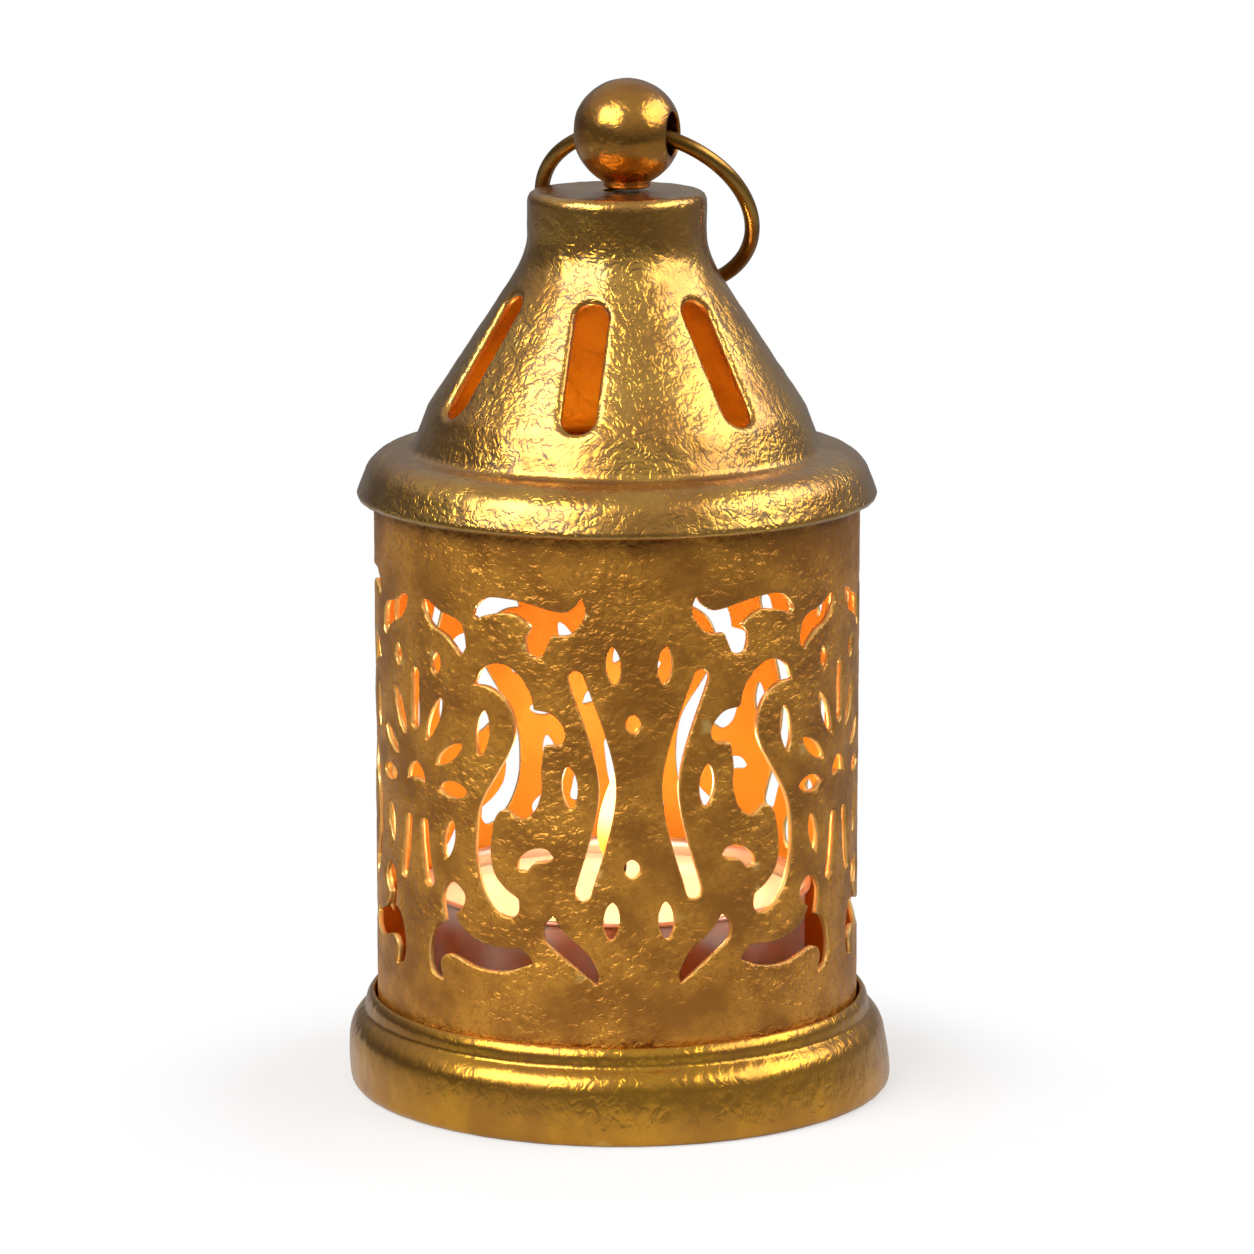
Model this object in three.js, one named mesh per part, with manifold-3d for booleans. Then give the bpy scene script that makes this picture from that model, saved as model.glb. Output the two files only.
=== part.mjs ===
// Tealight lantern. A pierced sheet sleeve plugs into a pressed base, and a slotted cap with
// a drilled ball and a carrying ring closes its top. A tealight stands on the base's floor.
// Millimetres, +Z up. The origin is the centre of the base's foot, and -Y is the front.
// Every angle round the lantern is counted from the front, towards +X.
import * as THREE from 'three';
import { mergeVertices } from 'three/addons/utils/BufferGeometryUtils.js';
import Module from 'manifold-3d';

const wasm = await Module();
wasm.setup();

// Clearance between pieces that plug into, rest on or swing past each other
const fitGap = 0.3;

// Tealight, the standard candle that the lantern is sized for
const cupRadius = 19.5;
const cupHeight = 15.2;
const cupWall = 0.3;
const cupRimRoll = 0.6;
const cupFootChamfer = 0.6;
const waxHeight = 13.1;
const wickRadius = 0.8;
const wickStandout = 5.0;
const wickLean = 0.5;
const wickHalfLean = 0.2;
const wickBendDepth = 0.5;
const sustainerRadius = 6.0;
const sustainerSheet = 0.3;
const sustainerNeckHeight = 3.0;
const sustainerNeckWall = 0.5;

// Sleeve, a rolled sheet tube
const candleRoom = 3.9;
const sleeveWall = 0.6;
const sleeveRadius = cupRadius + candleRoom + sleeveWall;
const sleeveHeight = 56.5;

// Piercing of the sleeve
const motifRepeats = 3;
const lyreAngle = 5.2;
const piercingFootMargin = 8.9;
const piercingTopMargin = 8.4;
const drawnPitch = 25.5;
const drawnHeight = 39.2;

// Base, a pressed dish with a well for the sleeve
const baseWall = 0.8;
const baseFloorHeight = 4.8;
const baseRimHeight = 9.35;
const baseCrownHeight = 5.2;
const baseCrownReach = 2.52;
const hemHeight = 1.5;
const hemReach = 0.28;
const footTurnIn = 0.5;
const hemCornerHeight = 0.5;
const hemCornerInset = 0.2;

// Cap, a spun sheet roof: flange, cone and neck. Insets are counted from the sleeve's outside,
// and rises from the cap's skin over the sleeve's top edge.
const capWall = 0.7;
const capOverhang = 1.55;
const capLipDrop = 2.5;
const capLipFlat = 0.25;
const flangeCornerInset = 0.25;
const flangeCornerRise = 0.9;
const flangeStartInset = 2.4;
const flangeStartRise = 2.0;
const fillInset = 4.25;
const fillRise = 2.65;
const shoulderInset = 5.4;
const shoulderRise = 5.85;
const shoulderRound = 1.0;
const coneRise = 12.35;
const neckRadius = 8.8;
const neckFlare = 1.7;
const neckFootRise = 4.5;
const neckHeight = 4.3;
const neckRound = 0.9;

// Slots in the cone, hand punched, so their spacing varies
const slotAngles = [-62.5, -12.2, 41.7, 100, 159, 206, 252];
const slotWidth = 3.5;
const slotFootMargin = 0.3;
const slotTopMargin = 1.0;

// Ball on the cap, a little off its axis, with a cross hole for the ring
const ballRadius = 5.3;
const ballOffset = 1.0;
const ballHoleRadius = 2.15;
const ballHoleAngle = 17.7;
const bossRadius = 2.3;
const bossHeight = 0.6;

// Screw that holds the ball from inside the cap
const screwRadius = 1.2;
const screwHeadRadius = 2.6;
const screwHeadHeight = 1.5;
const screwCrownRadius = 1.56;
const screwCrownHeight = 0.82;
const screwTipCover = 0.9;

// Carrying ring, an open wire loop
const ringRadius = 10.7;
const ringWireRadius = 0.75;
const ringGap = 0.6;

// Faceting
const tubeFacets = 36;
const cupFacets = 30;
const ballFacets = 24;
const holeFacets = 20;
const smallFacets = 14;
const crownSteps = 6;
const ringSteps = 32;
const wickSteps = 8;
const wireSteps = 4;
const outlineTolerance = 0.14;
const leafSides = 8;
const punchReach = 3;

// Sizes and places that follow from the ones above
const wellRadius = sleeveRadius + fitGap;
const crownRadius = wellRadius + baseCrownReach;
const sleeveFootZ = baseFloorHeight + fitGap;
const seatInside = cupRadius + fitGap;
const seatOutside = sleeveRadius - sleeveWall - fitGap;
const flangeRadius = sleeveRadius + capOverhang;
const coneFoot = new THREE.Vector2(sleeveRadius - shoulderInset, capWall + shoulderRise);
const coneTop = new THREE.Vector2(neckRadius + neckFlare, coneFoot.y + coneRise);
const capHeight = coneTop.y + neckFootRise + neckHeight;
const ballSeat = bossHeight + Math.sqrt(ballRadius ** 2 - bossRadius ** 2);
const ballRise = capHeight + fitGap + ballSeat;
const rimDepth = Math.sqrt(ballRadius ** 2 - ballHoleRadius ** 2);
const ringReach = ringRadius - ringWireRadius - fitGap;
const ringHang = ballHoleRadius + Math.sqrt(ringReach ** 2 - rimDepth ** 2);

const degrees = THREE.MathUtils.degToRad;

const goldPaint = { color: 0xb0832a, roughness: 0.35, metalness: 0.9 };
const darkGold = { color: 0x9a7024, roughness: 0.38, metalness: 0.9 };
const brassWire = { color: 0x9c7430, roughness: 0.3, metalness: 1 };
const bareSteel = { color: 0x9a9a9c, roughness: 0.35, metalness: 1 };
const aluminium = { color: 0xb9b2ab, roughness: 0.3, metalness: 1 };
const candleWax = { color: 0xf6ead0, roughness: 0.5, metalness: 0 };
const burntCotton = { color: 0x2a2018, roughness: 0.9, metalness: 0 };

function piece(name, geometry, look) {
  const mesh = new THREE.Mesh(geometry, new THREE.MeshStandardMaterial(look));
  mesh.name = name;
  return mesh;
}

// Leaves only positions, joins shared vertices and drops the triangles that this collapses
function closedMesh(geometry) {
  const bare = new THREE.BufferGeometry();
  bare.setAttribute('position', geometry.getAttribute('position'));
  if (geometry.index) bare.setIndex(geometry.index);
  const joined = mergeVertices(bare, 1e-4);
  const kept = [];
  const corners = joined.index.array;
  for (let first = 0; first < corners.length; first += 3) {
    const [a, b, c] = corners.slice(first, first + 3);
    if (a !== b && b !== c && c !== a) kept.push(a, b, c);
  }
  joined.setIndex(kept);
  return joined;
}

function toSolid(geometry) {
  const bare = closedMesh(geometry);
  return new wasm.Manifold(new wasm.Mesh({
    numProp: 3,
    vertProperties: new Float32Array(bare.getAttribute('position').array),
    triVerts: new Uint32Array(bare.index.array),
  }));
}

function toGeometry(solid) {
  const mesh = solid.getMesh();
  const geometry = new THREE.BufferGeometry();
  geometry.setAttribute('position', new THREE.BufferAttribute(mesh.vertProperties, 3));
  geometry.setIndex(new THREE.BufferAttribute(mesh.triVerts, 1));
  return geometry;
}

// Turns a profile of radius and height round Z. The profile runs anticlockwise, with the
// solid on its left, and it either closes on itself or starts and ends on the axis.
function turned(profile, facets) {
  const points = profile.map(([radius, height]) => new THREE.Vector2(radius, height));
  const onAxis = points[0].x === 0 && points.at(-1).x === 0;
  if (!onAxis) points.push(points[0].clone());
  const geometry = new THREE.LatheGeometry(points, facets);
  geometry.rotateX(Math.PI / 2);
  return closedMesh(geometry);
}

function pairs(points) {
  return points.map((point) => [point.x, point.y]);
}

function quadratic(start, corner, end, steps) {
  const [from, bend, to] = [start, corner, end].map(([x, y]) => new THREE.Vector2(x, y));
  return pairs(new THREE.QuadraticBezierCurve(from, bend, to).getPoints(steps));
}

function ellipseArc(centreX, centreY, radiusX, radiusY, fromDegrees, toDegrees, steps) {
  const arc = [];
  for (let step = 0; step <= steps; step += 1) {
    const turn = degrees(fromDegrees + ((toDegrees - fromDegrees) * step) / steps);
    arc.push([centreX + radiusX * Math.cos(turn), centreY + radiusY * Math.sin(turn)]);
  }
  return arc;
}

// Moves each point of an open profile by a distance to its left
function offset(profile, distance) {
  return profile.map(([x, y], index) => {
    const [beforeX, beforeY] = profile[Math.max(index - 1, 0)];
    const [afterX, afterY] = profile[Math.min(index + 1, profile.length - 1)];
    const along = new THREE.Vector2(afterX - beforeX, afterY - beforeY).normalize();
    return [x - along.y * distance, y + along.x * distance];
  });
}

// Outlines of the piercing, drawn flat in millimetres. X runs round the sleeve from the lyre's
// axis to the rosette's, which is drawnPitch away, and Y runs up from the piercing's foot.
// A free outline is a ring of smooth runs that meet at corners.
const bird = [
  [[5.65, 39.1], [6.4, 38.1], [7.8, 37.6], [11, 38.3], [13.2, 38.6], [15.4, 38.55], [16.8, 37.6],
    [17.1, 36.8], [16.6, 36.3]],
  [[16.6, 36.3], [15.9, 36.75], [13.1, 37.25], [11.6, 36.7], [10.65, 35.95]],
  [[10.65, 35.95], [11.3, 34.9], [10.9, 33.3], [9.6, 33.35], [9.1, 34.2], [8.6, 35.35]],
  [[8.6, 35.35], [6.8, 35.5], [5.6, 36.7], [5.25, 38], [5.65, 39.1]],
];
const scroll = [
  [[17, 29.95], [16.3, 31.4], [14.8, 32.2], [13.2, 32.1], [11.7, 31], [10.75, 29.5], [10.45, 28.05]],
  [[10.45, 28.05], [8.6, 27.7], [7.4, 26.4], [7.5, 25], [9.35, 24.6]],
  [[9.35, 24.6], [9.7, 22.3], [9.65, 20.3], [10.3, 18.3], [11.6, 17.3], [12.6, 17.6], [13.5, 18.1],
    [14.6, 17.2], [15.15, 14.5], [14.9, 12], [13.7, 10.45], [12.1, 9.4]],
  [[12.1, 9.4], [12.1, 8.1], [13, 7.45], [14.5, 8], [16, 9.8], [16.9, 12.5], [16.9, 16],
    [16.2, 18.7], [14.2, 21.9], [12.7, 24.5], [12.5, 26.8], [13.5, 28.8], [15.3, 29.85], [17, 29.95]],
];
const horn = [
  [[10.6, 3.1], [11, 3.8], [11.9, 4.5]],
  [[11.9, 4.5], [15, 4.4], [17.4, 5.05], [18.8, 5.9], [19.5, 7]],
  [[19.5, 7], [18.6, 7.8], [18.3, 9.1], [19.7, 10.15], [21, 9.4], [21.4, 8], [21, 6]],
  [[21, 6], [22.5, 5.2], [23.35, 2.9], [22.9, 0.8], [21.15, 0.1]],
  [[21.15, 0.1], [21.65, 1.9], [20.3, 2.85], [16.5, 2], [13.4, 2.1], [10.6, 3.1]],
];
const moustache = [
  [[24.25, 37.35], [23.2, 37.45], [21.5, 36.6], [19.4, 36.1], [18.45, 35.4], [18, 33.5]],
  [[18, 33.5], [18.7, 32.65], [19.6, 33.4], [20.8, 34.3], [22.6, 34.95], [23.8, 36.1], [24.25, 37.35]],
];
const comma = [
  [[8.5, 7.95], [9.4, 6.9], [9.2, 5.3], [6.7, 3.3], [5.2, 2.1], [4.15, 1.3]],
  [[4.15, 1.3], [4, 2.4], [5, 4.3], [7.3, 6.3], [8.5, 7.95]],
];
const kidney = [
  [[8.4, 13.7], [9.2, 14.5], [10.6, 14.4], [11.9, 13.5], [12.2, 12.4], [11.2, 12.2]],
  [[11.2, 12.2], [10.3, 13.1], [9.1, 13.3], [8.4, 13.7]],
];
const crescent = [
  [[-1.6, 19.3], [-1.2, 20.5], [0, 21.25], [1.2, 20.5], [1.6, 19.3]],
  [[1.6, 19.3], [0, 19.6], [-1.6, 19.3]],
];


// Leaves beside the lyre, from its axis outwards, and on it: both tips and the width
const leaves = [
  [2.65, 34.4, 2.4, 30.65, 1.45],
  [2.6, 9.5, 2.8, 5.7, 1.6],
  [6.95, 22.75, 6.7, 18.55, 1.6],
  [15.8, 27.6, 16.4, 23, 1.6],
];
const lyreLeaves = [[-0.6, 27.8, -0.6, 26, 1.5], [-0.7, 13.7, -0.7, 11.8, 1.6]];

// Petals round the rosette's middle
const petals = [
  [21.95, 32.5, 22.35, 30.2, 1.4],
  [21.3, 28.1, 23.7, 23.6, 1.5],
  [18.6, 23.85, 22.2, 21.45, 1.35],
  [18, 19.25, 21.7, 19.25, 1.65],
  [19.9, 16.3, 20.8, 12.3, 1.5],
];

// Strokes: the lyre's string, the rosette's lowest petal and its topmost one
const lyreString = [[5.5, 10.4], [3.1, 20.8], [6.2, 31.2]];
const lyreStringWidth = 1.65;
const footPetal = [[24.1, 15.2], [23.8, 12.6], [23.2, 9.8]];
const footPetalWidth = 1.3;
const topPetal = [[0, 29.9], [0, 27.5], [0, 25.1]];
const topPetalWidth = 1.35;

const fineSteps = 12;

function freeHole(runs) {
  return runs.flatMap((run) => {
    const spline = new THREE.SplineCurve(run.map(([x, y]) => new THREE.Vector2(x, y)));
    return pairs(spline.getPoints(run.length * fineSteps)).slice(0, -1);
  });
}

// A leaf between two tips, blunter than an ellipse is at its sides and sharper at its tips
function leafHole([tipX, tipY, footX, footY, width]) {
  const sharpness = 0.35;
  const along = new THREE.Vector2(tipX - footX, tipY - footY);
  const half = along.length() / 2;
  along.normalize();
  return ellipseArc(0, 0, 1, 1, 0, 360, leafSides).slice(0, -1).map(([cosine, sine]) => {
    const across = (width / 2) * sine * Math.abs(sine) ** sharpness;
    return [
      (tipX + footX) / 2 + along.x * half * cosine - along.y * across,
      (tipY + footY) / 2 + along.y * half * cosine + along.x * across,
    ];
  });
}

// A stroke of even width with round ends, along a smooth line
function strokeHole(line, width) {
  const spline = new THREE.SplineCurve(line.map(([x, y]) => new THREE.Vector2(x, y)));
  const centre = pairs(spline.getPoints(2 * fineSteps));
  const left = offset(centre, width / 2);
  const right = offset(centre, -width / 2).reverse();
  const cap = (from, to) => {
    const middle = [(from[0] + to[0]) / 2, (from[1] + to[1]) / 2];
    const start = THREE.MathUtils.radToDeg(Math.atan2(from[1] - middle[1], from[0] - middle[0]));
    return ellipseArc(...middle, width / 2, width / 2, start, start - 180, fineSteps).slice(1, -1);
  };
  return [...left, ...cap(left.at(-1), right[0]), ...right, ...cap(right.at(-1), left[0])];
}

// Holes of one half cell, from the lyre's axis to the rosette's. Each appears on both sides
// of every lyre axis.
const mirroredHoles = [
  ...[...leaves, ...petals].map(leafHole),
  ...[bird, scroll, horn, moustache, comma, kidney].map(freeHole),
  strokeHole(lyreString, lyreStringWidth),
  strokeHole(footPetal, footPetalWidth),
];

// Holes on the lyre's axis, drawn a little to one side of it, and on the rosette's axis
const lyreHoles = lyreLeaves.map(leafHole);
const rosetteHoles = [strokeHole(topPetal, topPetalWidth), freeHole(crescent)];

function pointToLine(point, start, end) {
  const along = new THREE.Vector2().subVectors(end, start);
  const span = along.lengthSq();
  const away = new THREE.Vector2().subVectors(point, start);
  const share = span ? THREE.MathUtils.clamp(away.dot(along) / span, 0, 1) : 0;
  return away.addScaledVector(along, -share).length();
}

// Keeps only the points that an open line needs to stay within the tolerance
function thinLine(points) {
  let farthest = 0;
  let distance = outlineTolerance;
  for (let index = 1; index < points.length - 1; index += 1) {
    const away = pointToLine(points[index], points[0], points.at(-1));
    if (away > distance) {
      distance = away;
      farthest = index;
    }
  }
  if (!farthest) return [points[0], points.at(-1)];
  return [
    ...thinLine(points.slice(0, farthest + 1)).slice(0, -1),
    ...thinLine(points.slice(farthest)),
  ];
}

function thinOutline(outline) {
  const points = outline.map(([x, y]) => new THREE.Vector2(x, y));
  const distances = points.map((point) => point.distanceTo(points[0]));
  const opposite = distances.indexOf(Math.max(...distances));
  const back = [...points.slice(opposite), points[0]];
  return [
    ...thinLine(points.slice(0, opposite + 1)).slice(0, -1),
    ...thinLine(back).slice(0, -1),
  ];
}

// A punch that stands on its outline at punchReach above the XY plane and narrows to one point
// at the depth below it. It has the outline's size in the plane.
function taperedPunch(outline, depth) {
  const spread = (depth + punchReach) / depth;
  const punch = new THREE.ExtrudeGeometry(new THREE.Shape(outline), {
    depth: depth + punchReach,
    bevelEnabled: false,
  });
  punch.translate(0, 0, -depth);
  const place = punch.getAttribute('position');
  for (let index = 0; index < place.count; index += 1) {
    const size = place.getZ(index) < 0 ? 0 : spread;
    place.setXY(index, place.getX(index) * size, place.getY(index) * size);
  }
  return punch;
}

// Cutter for one hole, square to the sleeve at the hole's middle, whose outline meets the
// sleeve's outside in the drawn one
function holeCutter(outline, axisAngle, side) {
  const pitchAngle = Math.PI / motifRepeats;
  const heightScale = (sleeveHeight - piercingFootMargin - piercingTopMargin) / drawnHeight;
  const drawn = thinOutline(outline);
  const middle = new THREE.Box2().setFromPoints(drawn).getCenter(new THREE.Vector2());
  const flat = drawn.map((point) => new THREE.Vector2(
    sleeveRadius * Math.sin((side * (point.x - middle.x) * pitchAngle) / drawnPitch),
    (point.y - middle.y) * heightScale,
  ));
  const punch = taperedPunch(flat, 2 * sleeveRadius - 2 * sleeveWall);
  punch.rotateX(Math.PI / 2);
  punch.translate(0, -sleeveRadius, piercingFootMargin + middle.y * heightScale);
  punch.rotateZ(axisAngle + (side * middle.x * pitchAngle) / drawnPitch);
  return toSolid(punch);
}

function pierceSleeve() {
  const bore = sleeveRadius - sleeveWall;
  let sleeve = toSolid(turned([
    [bore, 0], [sleeveRadius, 0], [sleeveRadius, sleeveHeight], [bore, sleeveHeight],
  ], tubeFacets));
  for (let repeat = 0; repeat < motifRepeats; repeat += 1) {
    const lyreAxis = degrees(lyreAngle + (360 * repeat) / motifRepeats);
    const rosetteAxis = lyreAxis + Math.PI / motifRepeats;
    const cutters = [
      ...mirroredHoles.map((hole) => holeCutter(hole, lyreAxis, 1)),
      ...mirroredHoles.map((hole) => holeCutter(hole, lyreAxis, -1)),
      ...lyreHoles.map((hole) => holeCutter(hole, lyreAxis, 1)),
      ...rosetteHoles.map((hole) => holeCutter(hole, rosetteAxis, 1)),
    ];
    for (const cutter of cutters) sleeve = sleeve.subtract(cutter);
  }
  return toGeometry(sleeve);
}

// The dish. Its floor has a free margin between the tealight and the sleeve, on faces of its
// own, where the seat is measured.
function pressBase() {
  const footRadius = crownRadius + hemReach - footTurnIn;
  const crownRise = baseRimHeight - baseCrownHeight;
  const innerReach = baseCrownReach - baseWall;
  const wallOutside = wellRadius + baseWall;
  const innerCrown = ellipseArc(
    wellRadius, baseCrownHeight, innerReach, crownRise - baseWall, 0, 90, crownSteps,
  ).filter(([radius]) => radius > wallOutside);
  const innerTop = innerCrown.at(-1)[1];
  return turned([
    [0, baseFloorHeight - baseWall],
    [wallOutside, baseFloorHeight - baseWall],
    [wallOutside, innerTop],
    ...innerCrown.reverse(),
    [crownRadius + hemReach - baseWall, hemHeight],
    [footRadius - baseWall, 0],
    [footRadius, 0],
    [crownRadius + hemReach - hemCornerInset, hemCornerHeight],
    [crownRadius + hemReach, hemHeight],
    ...ellipseArc(wellRadius, baseCrownHeight, baseCrownReach, crownRise, 0, 90, crownSteps),
    [wellRadius, baseFloorHeight],
    [seatOutside, baseFloorHeight],
    [seatInside, baseFloorHeight],
    [0, baseFloorHeight],
  ], tubeFacets);
}

// The cap's outside from its lip up to its top, with the sleeve's top edge at height 0
function capOutside() {
  const lipRound = capOverhang - fitGap - capLipFlat;
  const lipTop = [flangeRadius, lipRound - capLipDrop];
  const flangeCorner = [flangeRadius - flangeCornerInset, capWall + flangeCornerRise];
  const flangeStart = [sleeveRadius - flangeStartInset, capWall + flangeStartRise];
  const fillCorner = [sleeveRadius - fillInset, capWall + fillRise];
  const coneSlope = (coneFoot.x - coneTop.x) / coneRise;
  const shoulder = [coneFoot.x + shoulderRound * coneSlope / 2, coneFoot.y - shoulderRound];
  const neckCorner = [neckRadius, coneTop.y + neckFlare / coneSlope];
  const neckFoot = [neckRadius, coneTop.y + neckFootRise];
  return [
    ...ellipseArc(flangeRadius - lipRound, lipTop[1], lipRound, lipRound, -90, 0, 2).slice(0, -1),
    ...quadratic(lipTop, flangeCorner, flangeStart, 4),
    ...quadratic(flangeStart, fillCorner, shoulder, 3).slice(1),
    [coneFoot.x, coneFoot.y],
    ...quadratic([coneTop.x, coneTop.y], neckCorner, neckFoot, 3),
    ...ellipseArc(neckRadius - neckRound, capHeight - neckRound, neckRound, neckRound, 0, 90, 2),
  ];
}

// Cutter for one slot: its outline lies on the cone's slant and is carried square through it
function slotCutter(slotAngle) {
  const slant = new THREE.Vector2(coneFoot.x - coneTop.x, coneRise);
  const straight = slant.length() - slotFootMargin - slotTopMargin - slotWidth;
  const outline = [
    ...ellipseArc(0, straight / 2, slotWidth / 2, slotWidth / 2, 0, 180, 5),
    ...ellipseArc(0, -straight / 2, slotWidth / 2, slotWidth / 2, 180, 360, 5),
  ];
  const punch = taperedPunch(outline.map(([x, y]) => new THREE.Vector2(x, y)), coneFoot.x);

  const turn = degrees(slotAngle);
  const round = new THREE.Vector3(Math.cos(turn), Math.sin(turn), 0);
  const outward = new THREE.Vector3(Math.sin(turn), -Math.cos(turn), 0);
  const [lean, rise] = [slant.x / slant.length(), slant.y / slant.length()];
  const up = outward.clone().multiplyScalar(-lean).setZ(rise);
  const through = outward.clone().multiplyScalar(rise).setZ(lean);
  const middle = outward.multiplyScalar((coneFoot.x + coneTop.x) / 2);
  middle.setZ((coneFoot.y + coneTop.y) / 2).addScaledVector(up, (slotFootMargin - slotTopMargin) / 2);
  punch.applyMatrix4(new THREE.Matrix4().makeBasis(round, up, through).setPosition(middle));
  return toSolid(punch);
}

function spinCap() {
  const outside = capOutside();
  const lipInside = sleeveRadius + fitGap;
  let cap = toSolid(turned([
    [0, capHeight - capWall],
    [neckRadius - neckRound, capHeight - capWall],
    ...offset(outside, capWall).slice(1, -1).reverse(),
    [lipInside, capWall - capLipDrop],
    [lipInside, -capLipDrop],
    ...outside,
    [0, capHeight],
  ], tubeFacets));
  for (const slotAngle of slotAngles) cap = cap.subtract(slotCutter(slotAngle));
  const holeRadius = screwRadius + fitGap;
  const screwHole = new THREE.CylinderGeometry(holeRadius, holeRadius, 4 * capWall, ballFacets);
  screwHole.rotateX(Math.PI / 2);
  screwHole.translate(ballOffset, 0, capHeight);
  return toGeometry(cap.subtract(toSolid(screwHole)));
}

// The ball stands on a short boss and has a blind bore for its screw. Its cross hole is on X.
function drillBall() {
  const bore = screwRadius + fitGap;
  const boreTop = ballSeat - ballHoleRadius - screwTipCover + fitGap;
  const bossEdge = -THREE.MathUtils.radToDeg(Math.acos(bossRadius / ballRadius));
  const ball = toSolid(turned([
    [0, boreTop],
    [bore, boreTop],
    [bore, 0],
    [bossRadius, 0],
    ...ellipseArc(0, ballSeat, ballRadius, ballRadius, bossEdge, 90, 10).slice(0, -1),
    [0, ballSeat + ballRadius],
  ], ballFacets));
  const crossHole = new THREE.CylinderGeometry(
    ballHoleRadius, ballHoleRadius, 3 * ballRadius, holeFacets,
  );
  crossHole.rotateZ(Math.PI / 2);
  crossHole.translate(0, 0, ballSeat);
  return toGeometry(ball.subtract(toSolid(crossHole)));
}

// From the crown of its head, which is down, to the tip of its shank
function turnScrew() {
  const headTop = screwHeadHeight;
  const tip = headTop + fitGap + capWall + fitGap + ballSeat - ballHoleRadius - screwTipCover;
  return turned([
    [0, 0],
    [screwCrownRadius, 0],
    [screwHeadRadius, screwCrownHeight],
    [screwHeadRadius, headTop],
    [screwRadius, headTop],
    [screwRadius, tip],
    [0, tip],
  ], smallFacets);
}

// A loop in the XZ plane below the ball's centre, with its butt gap inside the ball
class RingLine extends THREE.Curve {
  getPoint(share, target = new THREE.Vector3()) {
    const halfGap = ringGap / 2 / ringRadius;
    const turn = Math.PI / 2 + halfGap + share * 2 * (Math.PI - halfGap);
    return target.set(ringRadius * Math.cos(turn), 0, ringRadius * Math.sin(turn) - ringHang);
  }
}

function bendRing() {
  const section = new THREE.Shape();
  section.absarc(0, 0, ringWireRadius, 0, 2 * Math.PI, false);
  return closedMesh(new THREE.ExtrudeGeometry(section, {
    steps: ringSteps,
    curveSegments: wireSteps,
    extrudePath: new RingLine(),
  }));
}

// How far the wire's skin stays off the cap when the ring leans back from hanging straight
function ringClearance(lean) {
  const outside = capOutside().map(([radius, height]) => new THREE.Vector2(radius, height));
  const line = new RingLine();
  const toCap = new THREE.Vector3(ballOffset, 0, ballRise);
  let nearest = Infinity;
  for (const point of line.getPoints(120)) {
    point.applyAxisAngle(new THREE.Vector3(1, 0, 0), lean);
    point.applyAxisAngle(new THREE.Vector3(0, 0, 1), -degrees(ballHoleAngle)).add(toCap);
    const spot = new THREE.Vector2(Math.hypot(point.x, point.y), point.z);
    for (let index = 1; index < outside.length; index += 1) {
      nearest = Math.min(nearest, pointToLine(spot, outside[index - 1], outside[index]));
    }
  }
  return nearest - ringWireRadius;
}

// The lean at which the ring comes to rest on the back of the cone
function restLean() {
  let [resting, clear] = [0, Math.PI / 2];
  while (clear - resting > 1e-6) {
    const middle = (resting + clear) / 2;
    if (ringClearance(middle) < fitGap) resting = middle;
    else clear = middle;
  }
  return clear;
}

// The cup's corner and side, moved inwards by an inset: from the floor to the side's foot. The
// ends of its 45 degree chamfer slide along by the tangent of half that angle.
function cupCorner(inset) {
  const bodyRadius = cupRadius - cupRimRoll;
  const slide = inset * Math.tan(Math.PI / 8);
  return [
    [bodyRadius - cupFootChamfer - slide, inset],
    [bodyRadius - inset, cupFootChamfer + slide],
  ];
}

function drawCup() {
  const bodyRadius = cupRadius - cupRimRoll;
  return turned([
    [0, 0],
    ...cupCorner(0),
    [bodyRadius, cupHeight - cupRimRoll - cupWall],
    [cupRadius, cupHeight - cupRimRoll],
    [cupRadius, cupHeight],
    [bodyRadius - cupWall, cupHeight],
    ...cupCorner(cupWall).reverse(),
    [0, cupWall],
  ], cupFacets);
}

// Wax with a bore for the wick and a pocket below for the sustainer
function castWax() {
  const inset = cupWall + fitGap;
  const bore = wickRadius + fitGap;
  const discTop = inset + sustainerSheet + fitGap;
  const neckPocket = bore + sustainerNeckWall + fitGap;
  return turned([
    [sustainerRadius + fitGap, inset],
    ...cupCorner(inset),
    [cupRadius - cupRimRoll - inset, inset + waxHeight],
    [bore, inset + waxHeight],
    [bore, discTop + sustainerNeckHeight],
    [neckPocket, discTop + sustainerNeckHeight],
    [neckPocket, discTop],
    [sustainerRadius + fitGap, discTop],
  ], cupFacets);
}

function pressSustainer() {
  const bore = wickRadius + fitGap;
  const neckRadiusOutside = bore + sustainerNeckWall;
  return turned([
    [bore, 0],
    [sustainerRadius, 0],
    [sustainerRadius, sustainerSheet],
    [neckRadiusOutside, sustainerSheet],
    [neckRadiusOutside, sustainerSheet + sustainerNeckHeight],
    [bore, sustainerSheet + sustainerNeckHeight],
  ], smallFacets);
}

function braidWick() {
  const section = new THREE.Shape();
  section.absarc(0, 0, wickRadius, 0, 2 * Math.PI, false);
  const bend = waxHeight - wickBendDepth;
  const tip = waxHeight + wickStandout;
  return closedMesh(new THREE.ExtrudeGeometry(section, {
    steps: wickSteps,
    curveSegments: wireSteps,
    extrudePath: new THREE.CatmullRomCurve3([
      new THREE.Vector3(0, 0, 0),
      new THREE.Vector3(0, 0, bend),
      new THREE.Vector3(wickHalfLean, 0, (bend + tip) / 2),
      new THREE.Vector3(wickLean, 0, tip),
    ]),
  }));
}

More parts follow.
